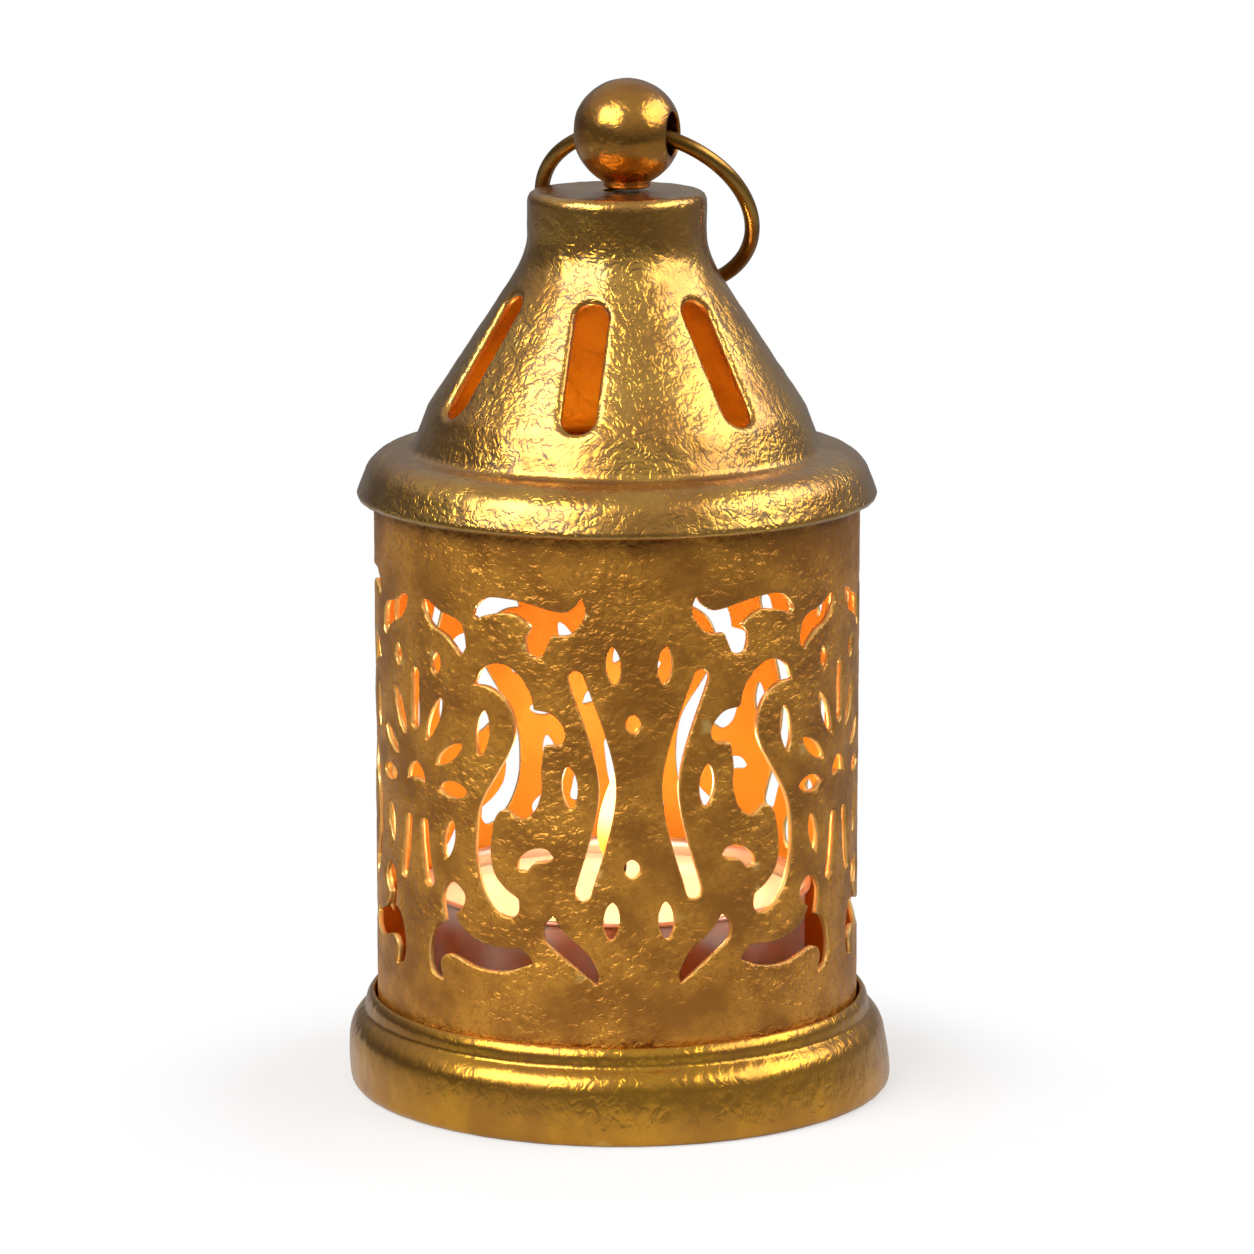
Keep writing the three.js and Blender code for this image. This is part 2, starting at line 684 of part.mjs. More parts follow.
// Tealight on the floor of the base
const tealight = new THREE.Group();
tealight.position.z = baseFloorHeight + fitGap;
const sustainer = piece('wick_sustainer', pressSustainer(), bareSteel);
const wick = piece('candle_wick', braidWick(), burntCotton);
sustainer.position.z = cupWall + fitGap;
wick.position.z = cupWall + fitGap;
tealight.add(
  piece('candle_cup', drawCup(), aluminium),
  piece('candle_wax', castWax(), candleWax),
  sustainer,
  wick,
);

// Ball, screw and ring on top of the cap
const finial = new THREE.Group();
finial.position.set(ballOffset, 0, sleeveHeight + capHeight + fitGap);
finial.rotation.z = -degrees(ballHoleAngle);
const screw = piece('finial_screw', turnScrew(), bareSteel);
screw.position.z = -fitGap - capWall - fitGap - screwHeadHeight;
const ring = piece('carrying_ring', bendRing(), brassWire);
ring.position.z = ballSeat;
ring.rotation.x = restLean();
finial.add(piece('finial_ball', drillBall(), goldPaint), screw, ring);

// Everything that lifts off the base
const upper = new THREE.Group();
upper.position.z = sleeveFootZ;
const cap = piece('cap', spinCap(), goldPaint);
cap.position.z = sleeveHeight;
upper.add(piece('pierced_sleeve', pierceSleeve(), darkGold), cap, finial);

const lantern = new THREE.Group();
lantern.add(piece('base', pressBase(), goldPaint), upper, tealight);

export default lantern;
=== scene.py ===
"""Pierced tealight lantern in gold-lacquered sheet metal, with a burning tealight inside.

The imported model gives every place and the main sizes. This script dresses it with fine
pierced, spun and pressed sheets, a drilled ball with its wire ring, and a lit candle.
Profiles and outlines are drawn in millimetres and become metres when a mesh is made.
A turned line ends an axis gap away from the axis, where a fan of facets closes the piece.
Angles round the lantern are counted from the front, towards +X.
"""

import logging
import math
from collections.abc import Callable, Iterable
from dataclasses import dataclass, field
from enum import Enum

import bpy
import numpy as np
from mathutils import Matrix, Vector, kdtree, noise
from mathutils.geometry import delaunay_2d_cdt


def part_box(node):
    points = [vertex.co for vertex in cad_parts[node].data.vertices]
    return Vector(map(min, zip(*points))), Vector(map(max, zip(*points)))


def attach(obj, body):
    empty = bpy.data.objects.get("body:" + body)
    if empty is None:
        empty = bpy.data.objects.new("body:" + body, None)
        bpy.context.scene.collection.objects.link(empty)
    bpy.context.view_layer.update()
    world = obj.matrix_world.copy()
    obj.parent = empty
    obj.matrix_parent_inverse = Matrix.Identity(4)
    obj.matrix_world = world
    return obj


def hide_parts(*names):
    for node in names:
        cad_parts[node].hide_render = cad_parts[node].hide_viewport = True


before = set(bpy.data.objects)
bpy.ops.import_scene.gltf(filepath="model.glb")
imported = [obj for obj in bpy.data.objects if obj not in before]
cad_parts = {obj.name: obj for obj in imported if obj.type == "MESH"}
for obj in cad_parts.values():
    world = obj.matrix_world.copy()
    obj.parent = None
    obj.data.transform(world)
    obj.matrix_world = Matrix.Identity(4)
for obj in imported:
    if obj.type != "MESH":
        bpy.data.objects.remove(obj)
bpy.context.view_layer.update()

log = logging.getLogger("lantern")

MM = 0.001
AXIS_GAP = 0.02
Point = tuple[float, float]
Colour = tuple[float, float, float, float]


class Body(Enum):
    """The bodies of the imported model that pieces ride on."""

    BASE = "base"
    UPPER = "upper"
    RING = "ring"
    TEALIGHT = "tealight"


class Slot(Enum):
    """The record's material slots."""

    GOLD = "gold_paint"
    DARK_GOLD = "dark_gold_paint"
    RING = "ring_brass"
    STEEL = "screw_steel"
    CUP = "cup_aluminium"
    WAX = "wax"
    WICK = "wick_cotton"


def node_box(node: str) -> tuple[np.ndarray, np.ndarray]:
    """Reads a node's box from the frame.

    Args:
        node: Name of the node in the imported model.

    Returns:
        The lowest and the highest corner, in millimetres.
    """
    low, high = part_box(node)
    return np.array(low) / MM, np.array(high) / MM


def srgb(red: int, green: int, blue: int) -> Colour:
    """Turns a display colour into the linear one that the nodes take.

    Args:
        red: Red, 0 to 255.
        green: Green, 0 to 255.
        blue: Blue, 0 to 255.

    Returns:
        The linear colour with full alpha.
    """
    channels = [channel / 255 for channel in (red, green, blue)]
    linear = [c / 12.92 if c <= 0.04045 else ((c + 0.055) / 1.055) ** 2.4 for c in channels]
    return (*linear, 1.0)


def ellipse_arc(centre: Point, radii: Point, start: float, end: float, steps: int) -> list[Point]:
    """Draws part of an ellipse.

    Args:
        centre: Middle of the ellipse.
        radii: Its radius across and up.
        start: First angle in degrees.
        end: Last angle in degrees.
        steps: Number of stretches.

    Returns:
        The points from the first angle to the last.
    """
    turns = np.radians(np.linspace(start, end, steps + 1))
    return [(centre[0] + radii[0] * math.cos(t), centre[1] + radii[1] * math.sin(t)) for t in turns]


def bend(start: Point, corner: Point, end: Point, steps: int) -> list[Point]:
    """Draws a quadratic curve that a corner pulls on.

    Args:
        start: First point.
        corner: The point that the curve bends towards.
        end: Last point.
        steps: Number of stretches.

    Returns:
        The points from the first to the last.
    """
    a, b, c = (np.array(point) for point in (start, corner, end))
    shares = np.linspace(0, 1, steps + 1)
    return [tuple((1 - t) ** 2 * a + 2 * t * (1 - t) * b + t**2 * c) for t in shares]


def smooth_run(points: list[Point], steps: int = 10) -> list[Point]:
    """Draws a smooth line through points.

    Args:
        points: The points that the line passes.
        steps: Number of stretches between two of them.

    Returns:
        The points of the line, with both ends.
    """
    run = [np.array(point) for point in points]
    padded = [run[0], *run, run[-1]]
    line = [points[0]]
    for before, here, there, after in zip(padded, padded[1:], padded[2:], padded[3:]):
        for step in range(1, steps + 1):
            t = step / steps
            tangent_here, tangent_there = (there - before) / 2, (after - here) / 2
            line.append(tuple(
                (2 * t**3 - 3 * t**2 + 1) * here + (t**3 - 2 * t**2 + t) * tangent_here
                + (3 * t**2 - 2 * t**3) * there + (t**3 - t**2) * tangent_there
            ))
    return line


def evenly(points: list[Point] | np.ndarray, spacing: float, closed: bool) -> np.ndarray:
    """Spreads points evenly along a line.

    Args:
        points: The line.
        spacing: Wanted distance between two points.
        closed: Whether the line returns to its first point.

    Returns:
        The new points. A closed line's first point isn't repeated.
    """
    line = np.array(points, float)
    if closed:
        line = np.vstack([line, line[:1]])
    marks = np.concatenate([[0], np.cumsum(np.linalg.norm(np.diff(line, axis=0), axis=1))])
    count = max(3, round(marks[-1] / spacing))
    places = np.linspace(0, marks[-1], count + 1)
    spread = np.column_stack([np.interp(places, marks, line[:, axis]) for axis in (0, 1)])
    return spread[:-1] if closed else spread


def shifted(outline: np.ndarray, distance: float, closed: bool = True) -> np.ndarray:
    """Moves a line to its left.

    Args:
        outline: The line's points.
        distance: How far they move.
        closed: Whether the line returns to its first point.

    Returns:
        The moved points.
    """
    if closed:
        along = np.roll(outline, -1, axis=0) - np.roll(outline, 1, axis=0)
    else:
        along = np.gradient(outline, axis=0)
    along /= np.linalg.norm(along, axis=1, keepdims=True)
    return outline + distance * np.column_stack([-along[:, 1], along[:, 0]])


def inside(points: np.ndarray, outline: np.ndarray) -> np.ndarray:
    """Tells which points lie inside a closed outline.

    Args:
        points: The points to test.
        outline: The outline's points.

    Returns:
        One truth value for each point.
    """
    hit = np.zeros(len(points), bool)
    low, high = outline.min(0), outline.max(0)
    near = np.flatnonzero(np.all((points >= low) & (points <= high), axis=1))
    x, y = points[near, 0], points[near, 1]
    found = np.zeros(len(near), bool)
    for (x0, y0), (x1, y1) in zip(outline, np.roll(outline, -1, axis=0)):
        if y0 != y1:
            crosses = (y0 > y) != (y1 > y)
            found ^= crosses & (x < (x1 - x0) * (y - y0) / (y1 - y0) + x0)
    hit[near] = found
    return hit


def bumpy(points: np.ndarray, bumps: Point) -> np.ndarray:
    """Works out the unevenness of beaten sheet.

    Args:
        points: Places on the surface.
        bumps: Width of one bump and how high it stands.

    Returns:
        How far each place lies above the even surface.
    """
    size, height = bumps
    fine_size, fine_share = 0.45 * size, 0.5
    coarse = np.array([noise.noise(Vector(point) / size) for point in points])
    fine = np.array([noise.noise(Vector(point) / fine_size) for point in points])
    return height * (coarse + fine_share * fine)


def placed(name: str, data: bpy.types.ID) -> bpy.types.Object:
    """Makes an object and puts it in the scene.

    Args:
        name: The object's name.
        data: Its mesh, lamp or camera.

    Returns:
        The object.
    """
    made = bpy.data.objects.new(name, data)
    bpy.context.scene.collection.objects.link(made)
    return made


@dataclass
class Mesh:
    """Points and faces of one piece, in millimetres, with a finish number for each face."""

    points: np.ndarray
    faces: list[list[int]]
    finishes: list[int]

    def joined(self, other: "Mesh") -> "Mesh":
        """Puts another mesh beside this one.

        Args:
            other: The mesh to add.

        Returns:
            One mesh with both.
        """
        first = len(self.points)
        moved = [[corner + first for corner in face] for face in other.faces]
        return Mesh(
            np.vstack([self.points, other.points]),
            self.faces + moved,
            self.finishes + other.finishes,
        )

    def made(self, name: str, materials: Iterable[bpy.types.Material]) -> bpy.types.Object:
        """Makes the Blender object.

        Args:
            name: The piece's name.
            materials: Its finishes, in the order of their numbers.

        Returns:
            The object, in metres.
        """
        mesh = bpy.data.meshes.new(name)
        mesh.from_pydata((self.points * MM).tolist(), [], self.faces)
        for material in materials:
            mesh.materials.append(material)
        mesh.polygons.foreach_set("material_index", self.finishes)
        mesh.shade_smooth()
        mesh.update()
        return placed(name, mesh)


def rod(points: np.ndarray, sides: int) -> Mesh:
    """Closes rings of points into a solid rod.

    Args:
        points: The rings' points, ring after ring.
        sides: Number of points in a ring.

    Returns:
        The rod's mesh.
    """
    last = len(points) - sides
    faces = []
    for low in range(0, last, sides):
        for side in range(sides):
            there, high = (side + 1) % sides, low + sides
            faces.append([low + side, low + there, high + there, high + side])
    faces.append(list(range(sides))[::-1])
    faces.append(list(range(last, last + sides)))
    return Mesh(points, faces, [0] * len(faces))


class Profile:
    """A line of radius and height that is turned round the axis.

    It runs with the metal on its left, so that its right is the outside.
    """

    def __init__(self, points: list[Point], spacing: float, closed: bool = False) -> None:
        """Spreads points along the line and finds its outward directions.

        Args:
            points: The drawn line.
            spacing: Distance between two of its new points.
            closed: Whether it returns to its first point.
        """
        self.line = evenly(points, spacing, closed)
        outward = shifted(self.line, -1, closed) - self.line
        self.outward = outward / np.linalg.norm(outward, axis=1, keepdims=True)
        steps = np.linalg.norm(np.diff(self.line, axis=0), axis=1)
        self.marks = np.concatenate([[0], np.cumsum(steps)])
        self.closed = closed

    @property
    def length(self) -> float:
        """Length of the line."""
        return float(self.marks[-1])

    def place(self, angles: np.ndarray, along: np.ndarray, lift: np.ndarray | float) -> np.ndarray:
        """Puts points on the turned surface.

        Args:
            angles: Angle of each point round the axis, in radians.
            along: Distance of each point along the line.
            lift: How far each point stands out of the surface.

        Returns:
            The points in space.
        """
        radius, height, out_radius, out_height = (
            np.interp(along, self.marks, column) for column in (*self.line.T, *self.outward.T)
        )
        reach = radius + lift * out_radius
        return np.column_stack([
            reach * np.sin(angles), -reach * np.cos(angles), height + lift * out_height,
        ])

    def turned(self, segments: int, unevenness: Callable[[np.ndarray], np.ndarray]) -> Mesh:
        """Turns the line into a closed solid.

        Args:
            segments: Number of facets round the axis.
            unevenness: Gives how far each point stands out of the even surface.

        Returns:
            The solid's mesh.
        """
        rows = self.line.shape[0]
        angles = np.tile(np.linspace(0, 2 * math.pi, segments, endpoint=False), rows)
        along = np.repeat(self.marks, segments)
        points = self.place(angles, along, unevenness(self.place(angles, along, 0.0)))
        faces = []
        for row in range(rows if self.closed else rows - 1):
            low, high = row * segments, (row + 1) % rows * segments
            for column in range(segments):
                there = (column + 1) % segments
                faces.append([low + column, low + there, high + there, high + column])
        if not self.closed:
            ends = np.array([[0, 0, self.line[0, 1]], [0, 0, self.line[-1, 1]]])
            foot, top = len(points), len(points) + 1
            points = np.vstack([points, ends])
            last = (rows - 1) * segments
            for column in range(segments):
                there = (column + 1) % segments
                faces.append([foot, there, column])
                faces.append([top, last + column, last + there])
        return Mesh(points, faces, [0] * len(faces))


class FlatSheet:
    """A flat rectangle of sheet with holes, triangulated finely, ready to be rolled.

    Attributes:
        loose: How far the grid's points stay from a hole's rims, as a share of their spacing.
        snug: How much of a rim's distance its points keep from every hole.
        touch: Greatest distance at which a point counts as lying on the border.
        seam: The same for the two sides that meet when the sheet is rolled.
        sliver: Twice the area under which a triangle counts as none.
    """

    loose = 0.4
    snug = 0.85
    touch = 1e-6
    seam = 1e-4
    sliver = 1e-9

    def __init__(self, width: float, height: float, holes: list[np.ndarray],
                 spacing: float, rims: tuple[float, ...]) -> None:
        """Triangulates the sheet.

        Args:
            width: Width of one repeat, which lies evenly about 0.
            height: Height of the sheet, from 0 up.
            holes: Outlines of the holes, each running anticlockwise.
            spacing: Distance between two points of the sheet.
            rims: Distances from a hole's edge that get rows of points of their own.
        """
        self.width, self.height, self.holes = width, height, holes
        edge = np.vstack(holes)
        self.edge_tree = kdtree.KDTree(len(edge))
        for index, (x, y) in enumerate(edge):
            self.edge_tree.insert((x, y, 0), index)
        self.edge_tree.balance()
        self.points, self.triangles = self.triangulated(self.spread(spacing, rims))

    def spread(self, spacing: float, rims: tuple[float, ...]) -> list[Point]:
        """Spreads points over the sheet, in an even grid and in rows along the holes' edges.

        Args:
            spacing: Distance between two points of the grid.
            rims: Distances of the rows from an edge.

        Returns:
            The points.
        """
        half = self.width / 2
        columns = max(2, round(self.width / spacing))
        rows = max(2, round(self.height / spacing))
        xs = np.linspace(-half, half, columns + 1)
        ys = np.linspace(0, self.height, rows + 1)
        grid = np.array([(x, y) for x in xs for y in ys])
        border = np.abs(np.abs(grid[:, 0]) - half) < self.touch
        border |= (grid[:, 1] < self.touch) | (grid[:, 1] > self.height - self.touch)
        taken = [grid[border | self.clear(grid, rims[-1] + self.loose * spacing)]]
        for rim in rims:
            row = np.vstack([shifted(hole, -rim) for hole in self.holes])
            within = (np.abs(row[:, 0]) < half - rim) & (row[:, 1] > rim)
            within &= row[:, 1] < self.height - rim
            taken.append(row[within & self.clear(row, self.snug * rim)])
        return [tuple(point) for row in taken for point in row]

    def triangulated(self, points: list[Point]) -> tuple[np.ndarray, np.ndarray]:
        """Joins points, border and holes' edges into triangles, and leaves the holes free.

        Args:
            points: The points on the sheet.

        Returns:
            The points that triangles use, and the triangles, each running anticlockwise.
        """
        half = self.width / 2
        corners = [(-half, 0), (half, 0), (half, self.height), (-half, self.height)]
        loops = []
        for outline in (corners, *self.holes):
            first, count = len(points), len(outline)
            points = points + [tuple(point) for point in outline]
            loops += [(first + k, first + (k + 1) % count) for k in range(count)]
        result = delaunay_2d_cdt([Vector(point) for point in points], loops, [], 0, self.touch)
        found = np.array([tuple(point) for point in result[0]])
        triangles = np.array([face for face in result[2] if len(face) == 3])
        a, b, c = (found[triangles[:, corner]] for corner in range(3))
        twice = (b - a)[:, 0] * (c - a)[:, 1] - (b - a)[:, 1] * (c - a)[:, 0]
        triangles[twice < 0] = triangles[twice < 0][:, ::-1]
        middles = (a + b + c) / 3
        kept = (np.abs(middles[:, 0]) < half) & (np.abs(twice) > self.sliver)
        for hole in self.holes:
            kept &= ~inside(middles, hole)
        used = np.unique(triangles[kept])
        renumbered = np.full(len(found), -1)
        renumbered[used] = np.arange(len(used))
        return found[used], renumbered[triangles[kept]]

    def distance(self, x: float, y: float) -> float:
        """Distance of a place from the nearest hole's edge."""
        return self.edge_tree.find((x, y, 0))[2]

    def clear(self, points: np.ndarray, gap: float) -> np.ndarray:
        """Tells which points lie in the sheet, clear of every hole's edge.

        Args:
            points: The points to test.
            gap: Least distance from an edge.

        Returns:
            One truth value for each point.
        """
        clear = np.array([self.distance(x, y) > gap for x, y in points])
        for hole in self.holes:
            clear &= ~inside(points, hole)
        return clear

    def repeated(self, copies: int) -> tuple[np.ndarray, np.ndarray, np.ndarray]:
        """Sets copies side by side until they close into a ring.

        Args:
            copies: Number of copies.

        Returns:
            The points, the triangles, and each point's distance from a hole's edge.
        """
        x, y = self.points.T
        left = np.flatnonzero(x < -self.width / 2 + self.seam)
        right = np.flatnonzero(x > self.width / 2 - self.seam)
        left, right = left[np.argsort(y[left])], right[np.argsort(y[right])]
        if len(left) != len(right):
            raise ValueError("the sheet's two sides don't match")
        own = np.setdiff1d(np.arange(len(x)), right)
        number = np.zeros(len(x), int)
        number[own] = np.arange(len(own))
        copy = np.zeros(len(x), int)
        number[right], copy[right] = number[left], 1
        away = np.array([self.distance(*self.points[index]) for index in own])
        points, triangles = [], []
        for repeat in range(copies):
            points.append(self.points[own] + [repeat * self.width, 0])
            triangles.append((number + (copy + repeat) % copies * len(own))[self.triangles])
        return np.vstack(points), np.vstack(triangles), np.tile(away, copies)


@dataclass
class RolledSheet:
    """Sheet metal that is laid round the axis along a profile, with holes through it.

    The inner share is how much of the outside's unevenness shows inside.
    """

    profile: Profile
    flat: FlatSheet
    copies: int
    turn: float
    wall: float
    inner_share: float = 0.3

    def mesh(self, lift: Callable[[np.ndarray, np.ndarray], np.ndarray]) -> Mesh:
        """Makes the closed sheet: outside, inside and the edges between them.

        Args:
            lift: Gives how far points stand out, from their places on the even surface and
                their distances from a hole's edge.

        Returns:
            The mesh, with finish 0 outside, 1 inside and 2 on the edges.
        """
        flat, triangles, away = self.flat.repeated(self.copies)
        angles = self.turn + flat[:, 0] * 2 * math.pi / (self.copies * self.flat.width)
        along = flat[:, 1]
        raised = lift(self.profile.place(angles, along, 0.0), away)
        outer = self.profile.place(angles, along, raised)
        inner = self.profile.place(angles, along, self.inner_share * raised - self.wall)
        count = len(outer)
        edges = np.vstack([triangles[:, pair] for pair in ([0, 1], [1, 2], [2, 0])])
        codes = edges[:, 0] * count + edges[:, 1]
        free = edges[~np.isin(edges[:, 1] * count + edges[:, 0], codes)]
        walls = [[b, a, a + count, b + count] for a, b in free.tolist()]
        inner_faces = (triangles[:, ::-1] + count).tolist()
        faces = triangles.tolist() + inner_faces + walls
        finishes = [0] * len(triangles) + [1] * len(inner_faces) + [2] * len(walls)
        return Mesh(np.vstack([outer, inner]), faces, finishes)


class NodeDesk:
    """Places and wires nodes in one node tree."""

    def __init__(self, tree: bpy.types.NodeTree) -> None:
        """Takes the tree to work in."""
        self.tree = tree

    def add(self, kind: str, inputs: dict | None = None, **settings: object) -> bpy.types.Node:
        """Adds a node.

        Args:
            kind: The node's type.
            inputs: Value or output socket for each input, by its name or number.
            **settings: The node's own settings.

        Returns:
            The new node.
        """
        node = self.tree.nodes.new(kind)
        for name, value in settings.items():
            setattr(node, name, value)
        self.feed(node, inputs or {})
        return node

    def put(self, socket: bpy.types.NodeSocket, value: object) -> None:
        """Links an input to an output socket, or sets it to a value.

        Args:
            socket: The input.
            value: The output socket or the value.
        """
        if isinstance(value, bpy.types.NodeSocket):
            self.tree.links.new(value, socket)
        else:
            socket.default_value = value

    def feed(self, node: bpy.types.Node, inputs: dict) -> None:
        """Fills a node's inputs.

        Args:
            node: The node.
            inputs: Value or output socket for each input, by its name or number.
        """
        for name, value in inputs.items():
            self.put(node.inputs[name], value)

    def axes(self) -> bpy.types.NodeOutputs:
        """Gives the place on the object as three sockets: X, Y and Z, in metres."""
        place = self.add("ShaderNodeTexCoord").outputs["Object"]
        return self.add("ShaderNodeSeparateXYZ", {0: place}).outputs

    def length(self, vector: bpy.types.NodeSocket) -> bpy.types.NodeSocket:
        """Measures a vector and returns the result's socket."""
        return self.add("ShaderNodeVectorMath", {0: vector}, operation="LENGTH").outputs["Value"]

    def math(self, operation: str, *values: object) -> bpy.types.NodeSocket:
        """Adds a math node and returns its output."""
        return self.add("ShaderNodeMath", dict(enumerate(values)), operation=operation).outputs[0]

    def remap(self, value: bpy.types.NodeSocket, low: float, high: float,
              to_low: float = 0.0, to_high: float = 1.0) -> bpy.types.NodeSocket:
        """Maps a range of values smoothly onto another.

        Args:
            value: The value's socket.
            low: Value that becomes to_low.
            high: Value that becomes to_high.
            to_low: Lowest result.
            to_high: Highest result.

        Returns:
            The result's socket.
        """
        node = self.add("ShaderNodeMapRange", {
            "Value": value, "From Min": low, "From Max": high, "To Min": to_low, "To Max": to_high,
        }, interpolation_type="SMOOTHSTEP")
        return node.outputs["Result"]

    def relief(self, height: bpy.types.NodeSocket, strength: float = 1.0) -> bpy.types.NodeSocket:
        """Turns heights into a normal.

        Args:
            height: The heights' socket, in millimetres.
            strength: Share of the relief that shows.

        Returns:
            The normal's socket.
        """
        node = self.add("ShaderNodeBump", {
            "Height": height, "Strength": strength, "Distance": MM,
        })
        return node.outputs["Normal"]

    def blend(self, share: object, first: object, second: object) -> bpy.types.NodeSocket:
        """Mixes two colours.

        Args:
            share: The second colour's share, as a value or a socket.
            first: The first colour, or its socket.
            second: The second colour, or its socket.

        Returns:
            The mixed colour's socket.
        """
        node = self.add("ShaderNodeMix", data_type="RGBA")
        sockets = [socket for socket in node.inputs if socket.enabled]
        for socket, value in zip(sockets, (share, first, second)):
            self.put(socket, value)
        return next(socket for socket in node.outputs if socket.enabled)


class Effect:
    """A shader node group that several finishes share."""

    def __init__(self, name: str, inputs: dict[str, float], outputs: Iterable[str]) -> None:
        """Makes the empty group.

        Args:
            name: The group's name.
            inputs: Its inputs with their usual values.
            outputs: Names of its outputs.
        """
        self.group = bpy.data.node_groups.new(name, "ShaderNodeTree")
        for label, value in inputs.items():
            socket = self.group.interface.new_socket(
                name=label, in_out="INPUT", socket_type="NodeSocketFloat")
            socket.default_value = value
        for label in outputs:
            self.group.interface.new_socket(
                name=label, in_out="OUTPUT", socket_type="NodeSocketFloat")
        self.desk = NodeDesk(self.group)
        self.inputs = self.group.nodes.new("NodeGroupInput").outputs
        self.results = self.group.nodes.new("NodeGroupOutput").inputs

    def give(self, label: str, value: bpy.types.NodeSocket) -> None:
        """Sends a value to one of the group's outputs."""
        self.group.links.new(value, self.results[label])

    def use(self, desk: NodeDesk, **values: float) -> bpy.types.NodeOutputs:
        """Places the group in a material.

        Args:
            desk: The material's nodes.
            **values: Values for the group's inputs.

        Returns:
            The placed group's outputs.
        """
        return desk.add("ShaderNodeGroup", dict(values), node_tree=self.group).outputs


def beaten_effect() -> Effect:
    """Makes the skin of beaten, lacquered sheet: creases, pebbles, grain, blotches and specks, and a
    mask of painted shade for the creases.

    Returns:
        The shared group. Cell is the number of pebbles to a metre, Squeeze flattens them, and
        the heights of the creases, pebbles and grain are in millimetres.
    """
    effect = Effect(
        "beaten_lacquer",
        {"Cell": 1300.0, "Squeeze": 1.0, "Crease": 0.05, "Pebble": 0.05, "Grain": 0.005},
        ["Height", "Blotch", "Speck", "Crease_Shade"],
    )
    desk, cell = effect.desk, effect.inputs["Cell"]
    bare = desk.add("ShaderNodeTexCoord").outputs["Object"]
    scale = desk.add("ShaderNodeCombineXYZ", {0: 1.0, 1: 1.0, 2: effect.inputs["Squeeze"]})
    place = desk.add("ShaderNodeVectorMath", {0: bare, 1: scale.outputs[0]},
                     operation="MULTIPLY").outputs[0]

    def noise_at(share: float, detail: float, distortion: float = 0.0) -> bpy.types.NodeSocket:
        """Adds a noise.

        Args:
            share: Its number of cells for one of the pebbles'.
            detail: How many finer layers it has.
            distortion: How far it is warped.

        Returns:
            The noise's socket.
        """
        return desk.add("ShaderNodeTexNoise", {
            "Vector": place, "Scale": desk.math("MULTIPLY", cell, share), "Detail": detail,
            "Distortion": distortion,
        }).outputs[0]

    def folds(share: float, distortion: float) -> bpy.types.NodeSocket:
        """Adds smooth humps with narrow valleys between them.

        Args:
            share: Their number of cells for one of the pebbles'.
            distortion: How far they are warped.

        Returns:
            The humps' socket, 0 in the valleys and 1 on the humps.
        """
        swell = desk.math("SUBTRACT", noise_at(share, 0.0, distortion), 0.5)
        return desk.remap(desk.math("ABSOLUTE", swell), low=0.0, high=0.17)

    wide, narrow = folds(share=0.8, distortion=0.8), folds(share=1.5, distortion=0.6)
    wide_weight, narrow_weight = 0.6, 0.4
    creased = desk.math("ADD", desk.math("MULTIPLY", wide, wide_weight),
                        desk.math("MULTIPLY", narrow, narrow_weight))
    pebbles = desk.add("ShaderNodeTexVoronoi", {
        "Vector": place, "Scale": cell, "Smoothness": 0.8,
    }, feature="SMOOTH_F1").outputs["Distance"]
    strength = desk.remap(noise_at(share=0.13, detail=2.0), low=0.36, high=0.62,
                          to_low=0.45, to_high=1.2)
    folded = desk.math("MULTIPLY", creased, effect.inputs["Crease"])
    sunk = desk.math("MULTIPLY", pebbles, effect.inputs["Pebble"])
    beaten = desk.math("MULTIPLY", desk.math("SUBTRACT", folded, sunk), strength)
    rough = desk.math("MULTIPLY", noise_at(share=2.4, detail=2.0), effect.inputs["Grain"])
    effect.give("Height", desk.math("ADD", rough, beaten))
    blotches = noise_at(share=0.16, detail=4.0)
    effect.give("Blotch", desk.remap(blotches, low=0.36, high=0.66))
    dot_share = 0.6
    dots = desk.add("ShaderNodeTexVoronoi", {
        "Vector": place, "Scale": desk.math("MULTIPLY", cell, dot_share),
    }).outputs["Distance"]
    dotted = desk.remap(dots, low=0.16, high=0.08)
    patches = desk.remap(noise_at(share=0.4, detail=2.0), low=0.56, high=0.63)
    effect.give("Speck", desk.math("MULTIPLY", dotted, patches))
    # Painted shade: this mask is 1 deep in a crease, where finishes darken their colour as if shade
    # fell there.
    effect.give("Crease_Shade", desk.remap(creased, low=0.55, high=0.05))
    return effect


def worn_edge_effect() -> Effect:
    """Makes the mask of sharp convex edges that finishes paint paler: partly worn edges, partly a
    painted highlight.

    Returns:
        The shared group. Its Width is how much sharper than flat ground an edge is where it turns
        fully pale.
    """
    effect = Effect("worn_edges_highlight", {"Width": 0.06}, ["Edge"])
    desk = effect.desk
    crest = desk.add("ShaderNodeNewGeometry").outputs["Pointiness"]
    place = desk.add("ShaderNodeTexCoord").outputs["Object"]
    patchy = desk.add("ShaderNodeTexNoise", {"Vector": place, "Scale": 420.0, "Detail": 3.0})
    flat_ground = 0.5
    risen = desk.math("DIVIDE", desk.math("SUBTRACT", crest, flat_ground), effect.inputs["Width"])
    sharp = desk.remap(risen, low=0.2, high=1.0)
    handled = desk.remap(patchy.outputs[0], low=0.3, high=0.6, to_low=0.4, to_high=1.0)
    effect.give("Edge", desk.math("MULTIPLY", sharp, handled))
    return effect


@dataclass(frozen=True)
class Effects:
    """The shared node groups."""

    beaten: Effect = field(default_factory=beaten_effect)
    worn: Effect = field(default_factory=worn_edge_effect)


def new_material(name: str) -> tuple[bpy.types.Material, NodeDesk, bpy.types.Node]:
    """Starts a material.

    Args:
        name: The material's name.

    Returns:
        The material, the desk for its nodes, and its main shader.
    """
    material = bpy.data.materials.new(name)
    material.use_nodes = True
    desk = NodeDesk(material.node_tree)
    return material, desk, material.node_tree.nodes["Principled BSDF"]


